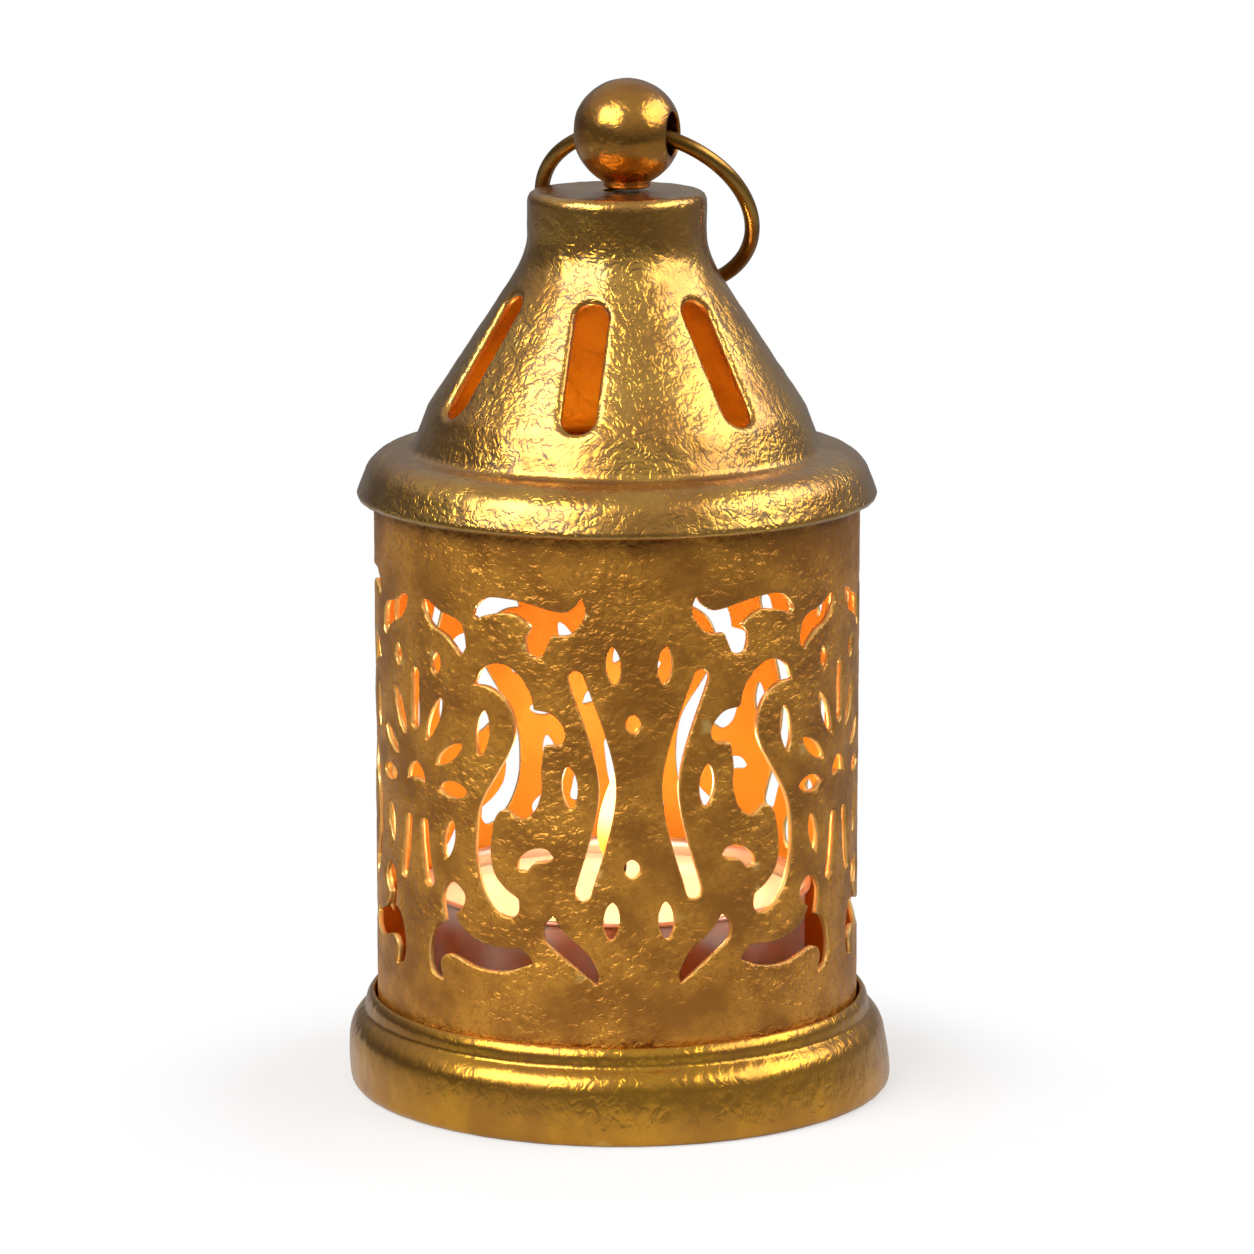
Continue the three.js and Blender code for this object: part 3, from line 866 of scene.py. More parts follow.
@dataclass(frozen=True)
class GoldLacquer:
    """Gold lacquer over beaten sheet."""

    name: str
    light: Colour
    deep: Colour
    rubbed: Colour
    roughness: float = 0.25
    cells: float = 980.0
    squeeze: float = 1.0
    crease: float = 0.05
    pebble: float = 0.085
    grain: float = 0.003
    hollow: float = 0.25
    wear: float = 0.3
    metallic: float = 1.0
    coat: float = 0.75
    specular: float = 0.5
    dull_gain: float = 0.03
    gloss_gain: float = 0.02
    speck_share: float = 0.4
    speck_gain: float = 0.15
    worn_width: float = 0.1
    coat_roughness: float = 0.28
    coat_ior: float = 1.6

    def made(self, effects: Effects) -> bpy.types.Material:
        """Makes the material.

        Args:
            effects: The shared node groups.

        Returns:
            The material.
        """
        material, desk, shader = new_material(self.name)
        skin = effects.beaten.use(desk, Cell=self.cells, Squeeze=self.squeeze,
                                  Crease=self.crease, Pebble=self.pebble, Grain=self.grain)
        edge = effects.worn.use(desk, Width=self.worn_width)["Edge"]
        tone = desk.blend(skin["Blotch"], self.deep, self.light)
        # Painted shade: the colour darkens towards deep in the creases.
        toned = desk.blend(desk.math("MULTIPLY", skin["Crease_Shade"], self.hollow), tone, self.deep)
        specks = desk.math("MULTIPLY", skin["Speck"], self.speck_share)
        speckled = desk.blend(specks, toned, self.deep)
        # Worn edges and painted highlight: sharp convex edges turn towards the pale edge colour.
        worn = desk.math("MULTIPLY", edge, self.wear)
        gloss = desk.remap(skin["Blotch"], 0.0, 1.0, self.roughness + self.dull_gain,
                           self.roughness - self.gloss_gain)
        rough_specks = desk.math("MULTIPLY", skin["Speck"], self.speck_gain)
        desk.feed(shader, {
            "Base Color": desk.blend(worn, speckled, self.rubbed),
            "Roughness": desk.math("ADD", gloss, rough_specks),
            "Metallic": self.metallic,
            "Coat Weight": self.coat,
            "Coat Roughness": self.coat_roughness,
            "Coat IOR": self.coat_ior,
            "Specular IOR Level": self.specular,
            "Normal": desk.relief(skin["Height"]),
        })
        return material


@dataclass(frozen=True)
class DrawnMetal:
    """Plain drawn or pressed metal with fine scratches and tarnish."""

    name: str
    light: Colour
    dull: Colour
    roughness: float
    scratches: float
    tarnish_gain: float = 0.12
    worn_width: float = 0.08

    def made(self, effects: Effects) -> bpy.types.Material:
        """Makes the material.

        Args:
            effects: The shared node groups.

        Returns:
            The material.
        """
        material, desk, shader = new_material(self.name)
        skin = effects.beaten.use(desk, Cell=900.0, Crease=0.003, Pebble=0.01,
                                  Grain=self.scratches)
        edge = effects.worn.use(desk, Width=self.worn_width)["Edge"]
        tone = desk.blend(skin["Blotch"], self.dull, self.light)
        dullest = self.roughness + self.tarnish_gain
        desk.feed(shader, {
            "Base Color": desk.blend(edge, tone, self.light),
            "Roughness": desk.remap(skin["Blotch"], 0.0, 1.0, dullest, self.roughness),
            "Metallic": 1.0,
            "Normal": desk.relief(skin["Height"]),
        })
        return material


@dataclass(frozen=True)
class CandleWax:
    """Cream wax, with the flame's light painted on round the wick as a warmer colour and a faint
    emission.
    """

    name: str = "candle_wax_cream"
    cream: Colour = srgb(248, 238, 216)
    warm: Colour = srgb(252, 214, 140)
    painted_edge_glow: Colour = srgb(120, 100, 66)
    painted_wick_glow: Colour = srgb(255, 228, 178)
    painted_glow_reach: float = 19.0
    painted_glow_strength: float = 0.35
    dull: float = 0.4
    glossy: float = 0.28
    depth_share: float = 0.25
    depths: tuple[float, float, float] = (0.004, 0.002, 0.001)
    relief: float = 0.6

    def made(self, effects: Effects) -> bpy.types.Material:
        """Makes the material.

        Args:
            effects: The shared node groups.

        Returns:
            The material.
        """
        material, desk, shader = new_material(self.name)
        skin = effects.beaten.use(desk, Cell=260.0, Crease=0.02, Pebble=0.06, Grain=0.01)
        axes = desk.axes()
        flat = desk.add("ShaderNodeCombineXYZ", {0: axes[0], 1: axes[1]}).outputs[0]
        near = desk.remap(desk.length(flat), self.painted_glow_reach * MM, 0.0)
        # Painted light: towards the wick the wax turns warmer and emits, standing in for the flame
        # shining through it.
        desk.feed(shader, {
            "Base Color": desk.blend(near, self.cream, self.warm),
            "Emission Color": desk.blend(near, self.painted_edge_glow, self.painted_wick_glow),
            "Emission Strength": self.painted_glow_strength,
            "Roughness": desk.remap(skin["Blotch"], 0.0, 1.0, self.dull, self.glossy),
            "Subsurface Weight": self.depth_share,
            "Subsurface Radius": self.depths,
            "Normal": desk.relief(skin["Height"], self.relief),
        })
        return material


@dataclass(frozen=True)
class BurntCotton:
    """Braided wick, charred towards its tip, with an ember at the very end."""

    foot: float
    tip: float
    name: str = "wick_braid"
    cotton: Colour = srgb(196, 170, 120)
    soot: Colour = srgb(28, 20, 16)
    furrow_shade: Colour = srgb(12, 9, 8)
    ember: Colour = srgb(255, 120, 30)
    unlit: Colour = (0.0, 0.0, 0.0, 1.0)
    ember_strength: float = 2.0
    char_rise: Point = (0.1, 0.55)
    ember_rise: Point = (0.88, 1.0)
    dull: float = 0.95
    worn: float = 0.8

    def made(self, effects: Effects) -> bpy.types.Material:
        """Makes the material.

        Args:
            effects: The shared node groups.

        Returns:
            The material.
        """
        material, desk, shader = new_material(self.name)
        skin = effects.beaten.use(desk, Cell=2400.0, Crease=0.03, Pebble=0.05, Grain=0.02)
        rise = desk.remap(desk.axes()[2], self.foot * MM, self.tip * MM)
        charred = desk.remap(rise, *self.char_rise)
        char = desk.blend(charred, self.cotton, self.soot)
        lit = desk.remap(rise, *self.ember_rise)
        desk.feed(shader, {
            # Painted shade: the braid darkens to near black in its creases.
            "Base Color": desk.blend(skin["Crease_Shade"], char, self.furrow_shade),
            "Emission Color": desk.blend(lit, self.unlit, self.ember),
            "Emission Strength": self.ember_strength,
            "Roughness": desk.remap(skin["Blotch"], 0.0, 1.0, self.dull, self.worn),
            "Normal": desk.relief(skin["Height"]),
        })
        return material


@dataclass(frozen=True)
class FlameGlow:
    """Candle flame: amber foot, white-yellow heart."""

    foot: float
    tip: float
    name: str = "flame_glow"
    amber: Colour = srgb(255, 140, 40)
    heart: Colour = srgb(255, 226, 150)
    end: Colour = srgb(255, 186, 90)
    heart_rise: Point = (0.0, 0.35)
    end_rise: Point = (0.7, 1.0)
    strength: float = 2.6
    roughness: float = 0.6

    def made(self) -> bpy.types.Material:
        """Makes the material.

        Returns:
            The material.
        """
        material, desk, shader = new_material(self.name)
        rise = desk.remap(desk.axes()[2], self.foot * MM, self.tip * MM)
        heart = desk.blend(desk.remap(rise, *self.heart_rise), self.amber, self.heart)
        tip = desk.blend(desk.remap(rise, *self.end_rise), heart, self.end)
        desk.feed(shader, {
            "Base Color": tip,
            "Emission Color": tip,
            "Emission Strength": self.strength,
            "Roughness": self.roughness,
        })
        return material


def settle(piece: bpy.types.Object, body: Body, slot: Slot, *nodes: str) -> None:
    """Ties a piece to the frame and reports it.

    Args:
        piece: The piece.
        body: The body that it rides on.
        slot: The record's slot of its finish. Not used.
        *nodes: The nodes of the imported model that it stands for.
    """
    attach(piece, body.value)
    if nodes:
        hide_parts(*nodes)
    log.info("%s: %d faces on %s", piece.name, len(piece.data.polygons), body.value)


@dataclass
class Piercing:
    """The cut-out ornament of the sleeve, drawn flat.

    X runs round the sleeve from the lyre's axis to the rosette's, which is a pitch away, and
    Y runs up from the piercing's foot.
    """

    pitch: float = 25.5
    height: float = 39.2
    repeats: int = 3
    lyre_angle: float = 5.2
    foot_margin: float = 8.9
    top_margin: float = 8.4
    edge_spacing: float = 0.22
    leaf_sharpness: float = 0.35
    leaf_points: int = 48
    stroke_steps: int = 12
    end_steps: int = 10

    def free(self, *runs: list[Point]) -> list[Point]:
        """Draws a hole from smooth runs that meet at corners."""
        return [point for run in runs for point in smooth_run(run)[:-1]]

    def leaf(self, tip: Point, foot: Point, width: float) -> list[Point]:
        """Draws a leaf between two tips.

        Args:
            tip: One tip.
            foot: The other tip.
            width: Width at its middle.

        Returns:
            The outline.
        """
        middle = (np.array(tip) + np.array(foot)) / 2
        half = (np.array(tip) - np.array(foot)) / 2
        aside = np.array([-half[1], half[0]]) / np.linalg.norm(half)
        outline = []
        for turn in np.linspace(0, 2 * math.pi, self.leaf_points, endpoint=False):
            sine = math.sin(turn)
            across = width / 2 * sine * abs(sine) ** self.leaf_sharpness
            outline.append(tuple(middle + half * math.cos(turn) + aside * across))
        return outline

    def stroke(self, line: list[Point], width: float) -> list[Point]:
        """Draws a stroke of even width with round ends.

        Args:
            line: Points along its middle.
            width: Its width.

        Returns:
            The outline.
        """
        middle = np.array(smooth_run(line, self.stroke_steps))
        left = shifted(middle, width / 2, closed=False)
        right = shifted(middle, -width / 2, closed=False)[::-1]
        outline = [tuple(point) for point in left]
        for end, start, following in ((middle[-1], left[-1], right), (middle[0], right[-1], [])):
            lean = math.degrees(math.atan2(start[1] - end[1], start[0] - end[0]))
            radii = (width / 2, width / 2)
            outline += ellipse_arc(tuple(end), radii, lean, lean - 180, self.end_steps)[1:-1]
            outline += [tuple(point) for point in following]
        return outline

    def mirrored(self) -> list[list[Point]]:
        """Outlines that stand on both sides of each lyre.

        Returns:
            The outlines of one side.
        """
        bird = self.free(
            [(5.65, 39.1), (6.4, 38.1), (7.8, 37.6), (11, 38.3), (13.2, 38.6), (15.4, 38.55),
             (16.8, 37.6), (17.1, 36.8), (16.6, 36.3)],
            [(16.6, 36.3), (15.9, 36.75), (13.1, 37.25), (11.6, 36.7), (10.65, 35.95)],
            [(10.65, 35.95), (11.3, 34.9), (10.9, 33.3), (9.6, 33.35), (9.1, 34.2), (8.6, 35.35)],
            [(8.6, 35.35), (6.8, 35.5), (5.6, 36.7), (5.25, 38), (5.65, 39.1)],
        )
        scroll = self.free(
            [(17, 29.95), (16.3, 31.4), (14.8, 32.2), (13.2, 32.1), (11.7, 31), (10.75, 29.5),
             (10.45, 28.05)],
            [(10.45, 28.05), (8.6, 27.7), (7.4, 26.4), (7.5, 25), (9.35, 24.6)],
            [(9.35, 24.6), (9.7, 22.3), (9.65, 20.3), (10.3, 18.3), (11.6, 17.3), (12.6, 17.6),
             (13.5, 18.1), (14.6, 17.2), (15.15, 14.5), (14.9, 12), (13.7, 10.45), (12.1, 9.4)],
            [(12.1, 9.4), (12.1, 8.1), (13, 7.45), (14.5, 8), (16, 9.8), (16.9, 12.5), (16.9, 16),
             (16.2, 18.7), (14.2, 21.9), (12.7, 24.5), (12.5, 26.8), (13.5, 28.8), (15.3, 29.85),
             (17, 29.95)],
        )
        horn = self.free(
            [(10.6, 3.1), (11, 3.8), (11.9, 4.5)],
            [(11.9, 4.5), (15, 4.4), (17.4, 5.05), (18.8, 5.9), (19.5, 7)],
            [(19.5, 7), (18.6, 7.8), (18.3, 9.1), (19.7, 10.15), (21, 9.4), (21.4, 8), (21, 6)],
            [(21, 6), (22.5, 5.2), (23.35, 2.9), (22.9, 0.8), (21.15, 0.1)],
            [(21.15, 0.1), (21.65, 1.9), (20.3, 2.85), (16.5, 2), (13.4, 2.1), (10.6, 3.1)],
        )
        moustache = self.free(
            [(24.25, 37.35), (23.2, 37.45), (21.5, 36.6), (19.4, 36.1), (18.45, 35.4), (18, 33.5)],
            [(18, 33.5), (18.7, 32.65), (19.6, 33.4), (20.8, 34.3), (22.6, 34.95), (23.8, 36.1),
             (24.25, 37.35)],
        )
        comma = self.free(
            [(8.5, 7.95), (9.4, 6.9), (9.2, 5.3), (6.7, 3.3), (5.2, 2.1), (4.15, 1.3)],
            [(4.15, 1.3), (4, 2.4), (5, 4.3), (7.3, 6.3), (8.5, 7.95)],
        )
        kidney = self.free(
            [(8.4, 13.7), (9.2, 14.5), (10.6, 14.4), (11.9, 13.5), (12.2, 12.4), (11.2, 12.2)],
            [(11.2, 12.2), (10.3, 13.1), (9.1, 13.3), (8.4, 13.7)],
        )
        lyre_string = self.stroke([(5.5, 10.4), (3.1, 20.8), (6.2, 31.2)], 1.65)
        petals = [
            self.leaf((21.95, 32.5), (22.35, 30.2), 1.4),
            self.leaf((21.3, 28.1), (23.7, 23.6), 1.5),
            self.leaf((18.6, 23.85), (22.2, 21.45), 1.35),
            self.leaf((18, 19.25), (21.7, 19.25), 1.65),
            self.leaf((19.9, 16.3), (20.8, 12.3), 1.5),
            self.stroke([(24.1, 15.2), (23.8, 12.6), (23.2, 9.8)], 1.3),
        ]
        leaves = [
            self.leaf((2.65, 34.4), (2.4, 30.65), 1.45),
            self.leaf((2.6, 9.5), (2.8, 5.7), 1.6),
            self.leaf((6.95, 22.75), (6.7, 18.55), 1.6),
            self.leaf((15.8, 27.6), (16.4, 23), 1.6),
        ]
        return [bird, scroll, horn, moustache, comma, kidney, lyre_string, *petals, *leaves]

    def holes(self, radius: float, height: float) -> list[np.ndarray]:
        """Lays out every hole of one repeat on the unrolled sleeve.

        Args:
            radius: The sleeve's radius.
            height: The sleeve's height.

        Returns:
            The outlines, each running anticlockwise.
        """
        crescent = self.free(
            [(-1.6, 19.3), (-1.2, 20.5), (0, 21.25), (1.2, 20.5), (1.6, 19.3)],
            [(1.6, 19.3), (0, 19.6), (-1.6, 19.3)],
        )
        rosette = [self.stroke([(0, 29.9), (0, 27.5), (0, 25.1)], 1.35), crescent]
        lyre = [self.leaf((-0.6, 27.8), (-0.6, 26), 1.5), self.leaf((-0.7, 13.7), (-0.7, 11.8), 1.6)]
        drawn = [np.array(outline) for outline in (*self.mirrored(), *lyre)]
        drawn += [np.array(outline) * [-1, 1] for outline in self.mirrored()]
        for outline in rosette:
            drawn += [np.array(outline) + [side * self.pitch, 0] for side in (-1, 1)]
        scale = [
            math.pi * radius / self.repeats / self.pitch,
            (height - self.foot_margin - self.top_margin) / self.height,
        ]
        laid = []
        for outline in drawn:
            placed = outline * scale + [0, self.foot_margin]
            x, y = placed.T
            if np.sum(x * np.roll(y, -1) - y * np.roll(x, -1)) < 0:
                placed = placed[::-1]
            laid.append(evenly(placed, self.edge_spacing, True))
        return laid


@dataclass
class Finishes:
    """Every material of the lantern."""

    effects: Effects = field(default_factory=Effects)

    def gold(self, name: str, **changes: object) -> bpy.types.Material:
        """Makes a gold lacquer.

        Args:
            name: The material's name.
            **changes: Fields that differ from the usual gold's.

        Returns:
            The material.
        """
        usual = {
            "light": srgb(216, 162, 60), "deep": srgb(186, 129, 42), "rubbed": srgb(244, 206, 110),
        }
        return GoldLacquer(name, **{**usual, **changes}).made(self.effects)

    def drawn(self, name: str, light: Colour, dull: Colour, roughness: float,
              scratches: float) -> bpy.types.Material:
        """Makes a drawn metal.

        Args:
            name: The material's name.
            light: Its colour where it is bright.
            dull: Its colour where it is tarnished.
            roughness: Its roughness where it is bright.
            scratches: Depth of its grain.

        Returns:
            The material.
        """
        return DrawnMetal(name, light, dull, roughness, scratches).made(self.effects)


@dataclass
class PressedBase:
    """The dish that the lantern stands on, with a rounded crown, a hem and a turned-in foot."""

    finishes: Finishes
    fit: float = 0.3
    wall: float = 0.8
    floor: float = 4.8
    crown_foot: float = 4.75
    crown_reach: float = 2.52
    crown_round: float = 3.0
    crown_start: float = 10.0
    crown_end: float = 62.0
    bead_top: Point = (0.34, 0.04)
    bead_edge: Point = (0.82, 0.86)
    bead_pull: Point = (0.06, 0.18)
    bead_end: Point = (0.16, 0.34)
    rim_width: float = 0.15
    rim_pull: float = 0.22
    rim_round: float = 0.25
    hem_aside: float = 0.4
    hem_height: float = 1.5
    hem_reach: float = 0.28
    hem_foot: float = 0.05
    hem_pull: Point = (0.05, 0.2)
    hem_share: float = 0.7
    side_share: float = 0.9
    side_pull_share: float = 0.72
    turn_in: float = 0.5
    foot_round: float = 0.15
    corner: float = 0.35
    bumps: Point = (1.5, 0.03)
    segments: int = 288
    spacing: float = 0.3

    def profile(self) -> list[Point]:
        """Draws the dish's section.

        Returns:
            The line, from the middle of its underside round to the middle of its floor.
        """
        rim = node_box("base")[1][2]
        well = node_box("pierced_sleeve")[1][0] + self.fit
        outside = well + self.crown_reach
        foot = outside + self.hem_reach - self.turn_in
        crown = (outside - self.crown_round, self.crown_foot)
        inner = (self.crown_reach - self.wall, self.crown_round - self.wall)
        under = [
            point for point in ellipse_arc((well, self.crown_foot), inner, 0, 90, 24)
            if point[0] > well + self.wall
        ][::-1]
        lip = outside + self.hem_reach
        side = ellipse_arc(crown, (self.crown_round, self.crown_round), self.crown_start,
                           self.crown_end, 30)
        bead_edge = (well + self.bead_edge[0], rim - self.bead_edge[1])
        bead_top = (well + self.bead_top[0], rim - self.bead_top[1])
        return [
            (0, self.floor - self.wall),
            (well + self.wall - self.corner, self.floor - self.wall),
            (well + self.wall, self.floor - self.wall + self.corner),
            *under,
            (lip - self.wall, self.hem_height),
            (foot - self.wall, self.foot_round),
            (foot - self.wall + self.foot_round, 0),
            (foot - self.foot_round, 0),
            *bend((foot, self.hem_foot), (lip - self.hem_pull[0], self.hem_pull[1]),
                  (lip, self.hem_height * self.hem_share), 8),
            *bend((lip, self.hem_height * self.side_share),
                  (lip, self.crown_foot * self.side_pull_share), side[0], 20),
            *side[1:],
            *bend(bead_edge, (bead_edge[0] - self.bead_pull[0], bead_edge[1] + self.bead_pull[1]),
                  (bead_edge[0] - self.bead_end[0], bead_edge[1] + self.bead_end[1]), 4),
            *bend(bead_top, (well + self.rim_pull, rim), (well + self.rim_width, rim), 4),
            *bend((well + self.rim_width, rim), (well, rim), (well, rim - self.rim_round), 5),
            *bend((well, self.floor + self.corner), (well, self.floor),
                  (well - self.corner, self.floor), 4),
            (0, self.floor),
        ]

    def build(self) -> None:
        """Turns the dish and dresses it."""
        profile = Profile(self.profile(), self.spacing)
        profile.line[[0, -1], 0] = AXIS_GAP
        mesh = profile.turned(self.segments, lambda places: bumpy(places, self.bumps))
        drop = np.clip(1 - mesh.points[:, 2] / self.crown_foot, 0, 1)
        mesh.points[:, 0] += self.hem_aside * drop
        gold = self.finishes.gold("base_gold", light=srgb(214, 154, 42), cells=950.0,
                                  squeeze=0.6, crease=0.025, pebble=0.08, coat=0.32)
        settle(mesh.made("base_dish", [gold]), Body.BASE, Slot.GOLD, "base")


@dataclass
class Sleeve:
    """The pierced tube between the base and the cap."""

    finishes: Finishes
    piercing: Piercing = field(default_factory=Piercing)
    wall: float = 0.6
    spacing: float = 0.56
    edge_round: float = 0.11
    bumps: Point = (1.3, 0.035)
    rims: tuple[float, ...] = (0.13, 0.3)

    def lift(self, places: np.ndarray, away: np.ndarray) -> np.ndarray:
        """Rounds the holes' edges and beats the sheet."""
        rounding = self.edge_round * np.clip(1 - away / self.rims[1], 0, 1) ** 2
        return bumpy(places, self.bumps) - rounding

    def build(self) -> None:
        """Pierces, rolls and dresses the tube."""
        low, high = node_box("pierced_sleeve")
        radius, height = high[0], high[2] - low[2]
        width = 2 * math.pi * radius / self.piercing.repeats
        holes = self.piercing.holes(radius, height)
        flat = FlatSheet(width, height, holes, self.spacing, self.rims)
        sheet = RolledSheet(
            profile=Profile([(radius, low[2]), (radius, high[2])], self.spacing),
            flat=flat,
            copies=self.piercing.repeats,
            turn=math.radians(self.piercing.lyre_angle),
            wall=self.wall,
        )
        # The sleeve paints strong shade into its creases, half of the way to deep.
        outside = self.finishes.gold(
            "sleeve_gold", light=srgb(229, 158, 56), deep=srgb(176, 114, 35),
            rubbed=srgb(244, 200, 110), roughness=0.42, cells=1100.0, squeeze=1.15, crease=0.065,
            pebble=0.24, grain=0.02, hollow=0.5, wear=0.8, metallic=0.65, coat=0.12)
        # Painted light: the inside is the same gold, tinted orange to stand for the flame's light on
        # it.
        inside_painted_glow = self.finishes.gold(
            "sleeve_inside_painted_glow", light=srgb(236, 158, 52), deep=srgb(222, 140, 40),
            rubbed=srgb(244, 180, 80), roughness=0.5, cells=500.0, crease=0.02, pebble=0.04,
            metallic=0.15, coat=0.0, specular=0.2)
        # Painted highlight: the holes' walls are coloured far paler than the lacquer, standing for
        # their bright rims.
        cut_edge_highlight = self.finishes.gold(
            "cut_edge_highlight", light=srgb(255, 216, 122), deep=srgb(240, 186, 84),
            rubbed=srgb(255, 230, 160), roughness=0.3, cells=1600.0, crease=0.01, pebble=0.02,
            metallic=0.5)
        piece = sheet.mesh(self.lift).made("sleeve_sheet", [outside, inside_painted_glow, cut_edge_highlight])
        settle(piece, Body.UPPER, Slot.DARK_GOLD, "pierced_sleeve")


@dataclass
class Cap:
    """The spun roof: a flange over the sleeve, a slotted cone and a neck."""

    finishes: Finishes
    wall: float = 0.7
    lip_drop: float = 2.2
    lip_round: float = 0.14
    lip_turns: Point = (-120, 15)
    lip_reach: float = 0.2
    face: Point = (-0.85, 0.2)
    face_pull: Point = (-0.64, 0.8)
    crest: Point = (0.03, 1.4)
    crest_pull: Point = (0.88, 2.22)
    groove: Point = (2.6, 2.33)
    groove_pull: Point = (3.46, 2.28)
    toe: Point = (3.86, 2.52)
    toe_pull: Point = (4.41, 4.08)
    shoulder: Point = (5.4, 6.55)
    cone_rise: float = 12.35
    neck_radius: float = 8.8
    neck_flare: float = 1.7
    neck_foot: float = 4.5
    neck_round: float = 0.9
    slot_angles: tuple[float, ...] = (-62.5, -12.2, 41.7, 100, 159, 206, 252)
    slot_width: float = 3.5
    slot_foot_margin: float = 0.3
    slot_top_margin: float = 1.0
    slot_spacing: float = 0.25
    rolled_reach: float = 0.65
    rolled_depth: float = 0.3
    bumps: Point = (1.6, 0.05)
    spacing: float = 0.42
    rims: tuple[float, ...] = (0.15, 0.32, 0.55, 0.8)
    flat_radius: float = 17.0
    seam_angle: float = -37.0
    hole_radius: float = 1.5
    forward_lean: float = 0.014

    def outline(self) -> tuple[list[Point], Point, Point]:
        """Draws the cap's outside from its lip to its top.

        Returns:
            The line, and the cone's foot and top.
        """
        sleeve_box, cap_box = node_box("pierced_sleeve"), node_box("cap")
        sleeve, edge = sleeve_box[1][0], sleeve_box[1][2]
        flange, top = cap_box[1][0], cap_box[1][2]
        lip = (flange + self.lip_reach - self.lip_round, edge - self.lip_drop)
        face, face_pull, crest, crest_pull, groove, groove_pull, toe, toe_pull, foot = (
            (sleeve - step[0], edge + step[1]) for step in (
                self.face, self.face_pull, self.crest, self.crest_pull, self.groove,
                self.groove_pull, self.toe, self.toe_pull, self.shoulder))
        cone_top = (self.neck_radius + self.neck_flare, foot[1] + self.cone_rise)
        slope = (foot[0] - cone_top[0]) / self.cone_rise
        line = [
            *ellipse_arc(lip, (self.lip_round, self.lip_round), *self.lip_turns, 12),
            *bend(face, face_pull, crest, 10),
            *bend(crest, crest_pull, groove, 12)[1:],
            *bend(groove, groove_pull, toe, 8)[1:],
            *bend(toe, toe_pull, foot, 12)[1:],
            *bend(cone_top, (self.neck_radius, cone_top[1] + self.neck_flare / slope),
                  (self.neck_radius, cone_top[1] + self.neck_foot), 16),
            *ellipse_arc((self.neck_radius - self.neck_round, top - self.neck_round),
                         (self.neck_round, self.neck_round), 0, 90, 10),
            (self.hole_radius, top),
        ]
        return line, foot, cone_top

    def slots(self, profile: Profile, foot: Point, top: Point) -> list[np.ndarray]:
        """Lays the slots out on the unrolled cap.

        Args:
            profile: The cap's outside.
            foot: The cone's foot.
            top: The cone's top.

        Returns:
            The outlines, each running anticlockwise.
        """
        near = [np.linalg.norm(profile.line - point, axis=1).argmin() for point in (foot, top)]
        low, high = (profile.marks[index] for index in near)
        half = self.slot_width / 2
        first = low + self.slot_foot_margin + half
        last = high - self.slot_top_margin - half
        ends = ellipse_arc((0, last), (half, half), 0, 180, 16)
        ends += ellipse_arc((0, first), (half, half), 180, 360, 16)
        drawn = evenly(ends, self.slot_spacing, True)
        laid = []
        for angle in self.slot_angles:
            radius = np.interp(drawn[:, 1], profile.marks, profile.line[:, 0])
            turn = (math.radians(angle - self.seam_angle) + math.pi) % (2 * math.pi) - math.pi
            middle = turn * self.flat_radius
            laid.append(np.column_stack([
                middle + drawn[:, 0] / radius * self.flat_radius, drawn[:, 1],
            ]))
        return laid

    def lift(self, places: np.ndarray, away: np.ndarray) -> np.ndarray:
        """Rolls the slots' edges in and beats the sheet."""
        rolled = self.rolled_depth * np.clip(1 - away / self.rolled_reach, 0, 1) ** 2
        return bumpy(places, self.bumps) - rolled

    def build(self) -> None:
        """Spins, slots and dresses the roof."""
        line, foot, top = self.outline()
        profile = Profile(line, self.spacing)
        slots = self.slots(profile, foot, top)
        width = 2 * math.pi * self.flat_radius
        flat = FlatSheet(width, profile.length, slots, self.spacing, self.rims)
        sheet = RolledSheet(profile, flat, 1, math.radians(self.seam_angle), self.wall)
        outside = self.finishes.gold("cap_gold")
        # Painted light: the roof's inside is the same gold, tinted deep orange for the flame's light
        # on it.
        inside_painted_glow = self.finishes.gold(
            "cap_inside_painted_glow", light=srgb(196, 132, 6), deep=srgb(160, 96, 2),
            rubbed=srgb(232, 150, 24), roughness=0.6, cells=500.0, crease=0.06, pebble=0.08,
            metallic=0.3, coat=0.0, specular=0.1)
        # Painted highlight: the slots' walls are coloured far paler than the lacquer, standing for
        # their bright rims.
        cut_edge_highlight = self.finishes.gold(
            "slot_edge_highlight", light=srgb(244, 200, 96), deep=srgb(220, 164, 56),
            rubbed=srgb(250, 220, 136), roughness=0.3, cells=1600.0, crease=0.01, pebble=0.02)
        mesh = sheet.mesh(self.lift)
        mesh.points[:, 2] += self.forward_lean * mesh.points[:, 1]
        piece = mesh.made("cap_sheet", [outside, inside_painted_glow, cut_edge_highlight])
        settle(piece, Body.UPPER, Slot.GOLD, "cap")


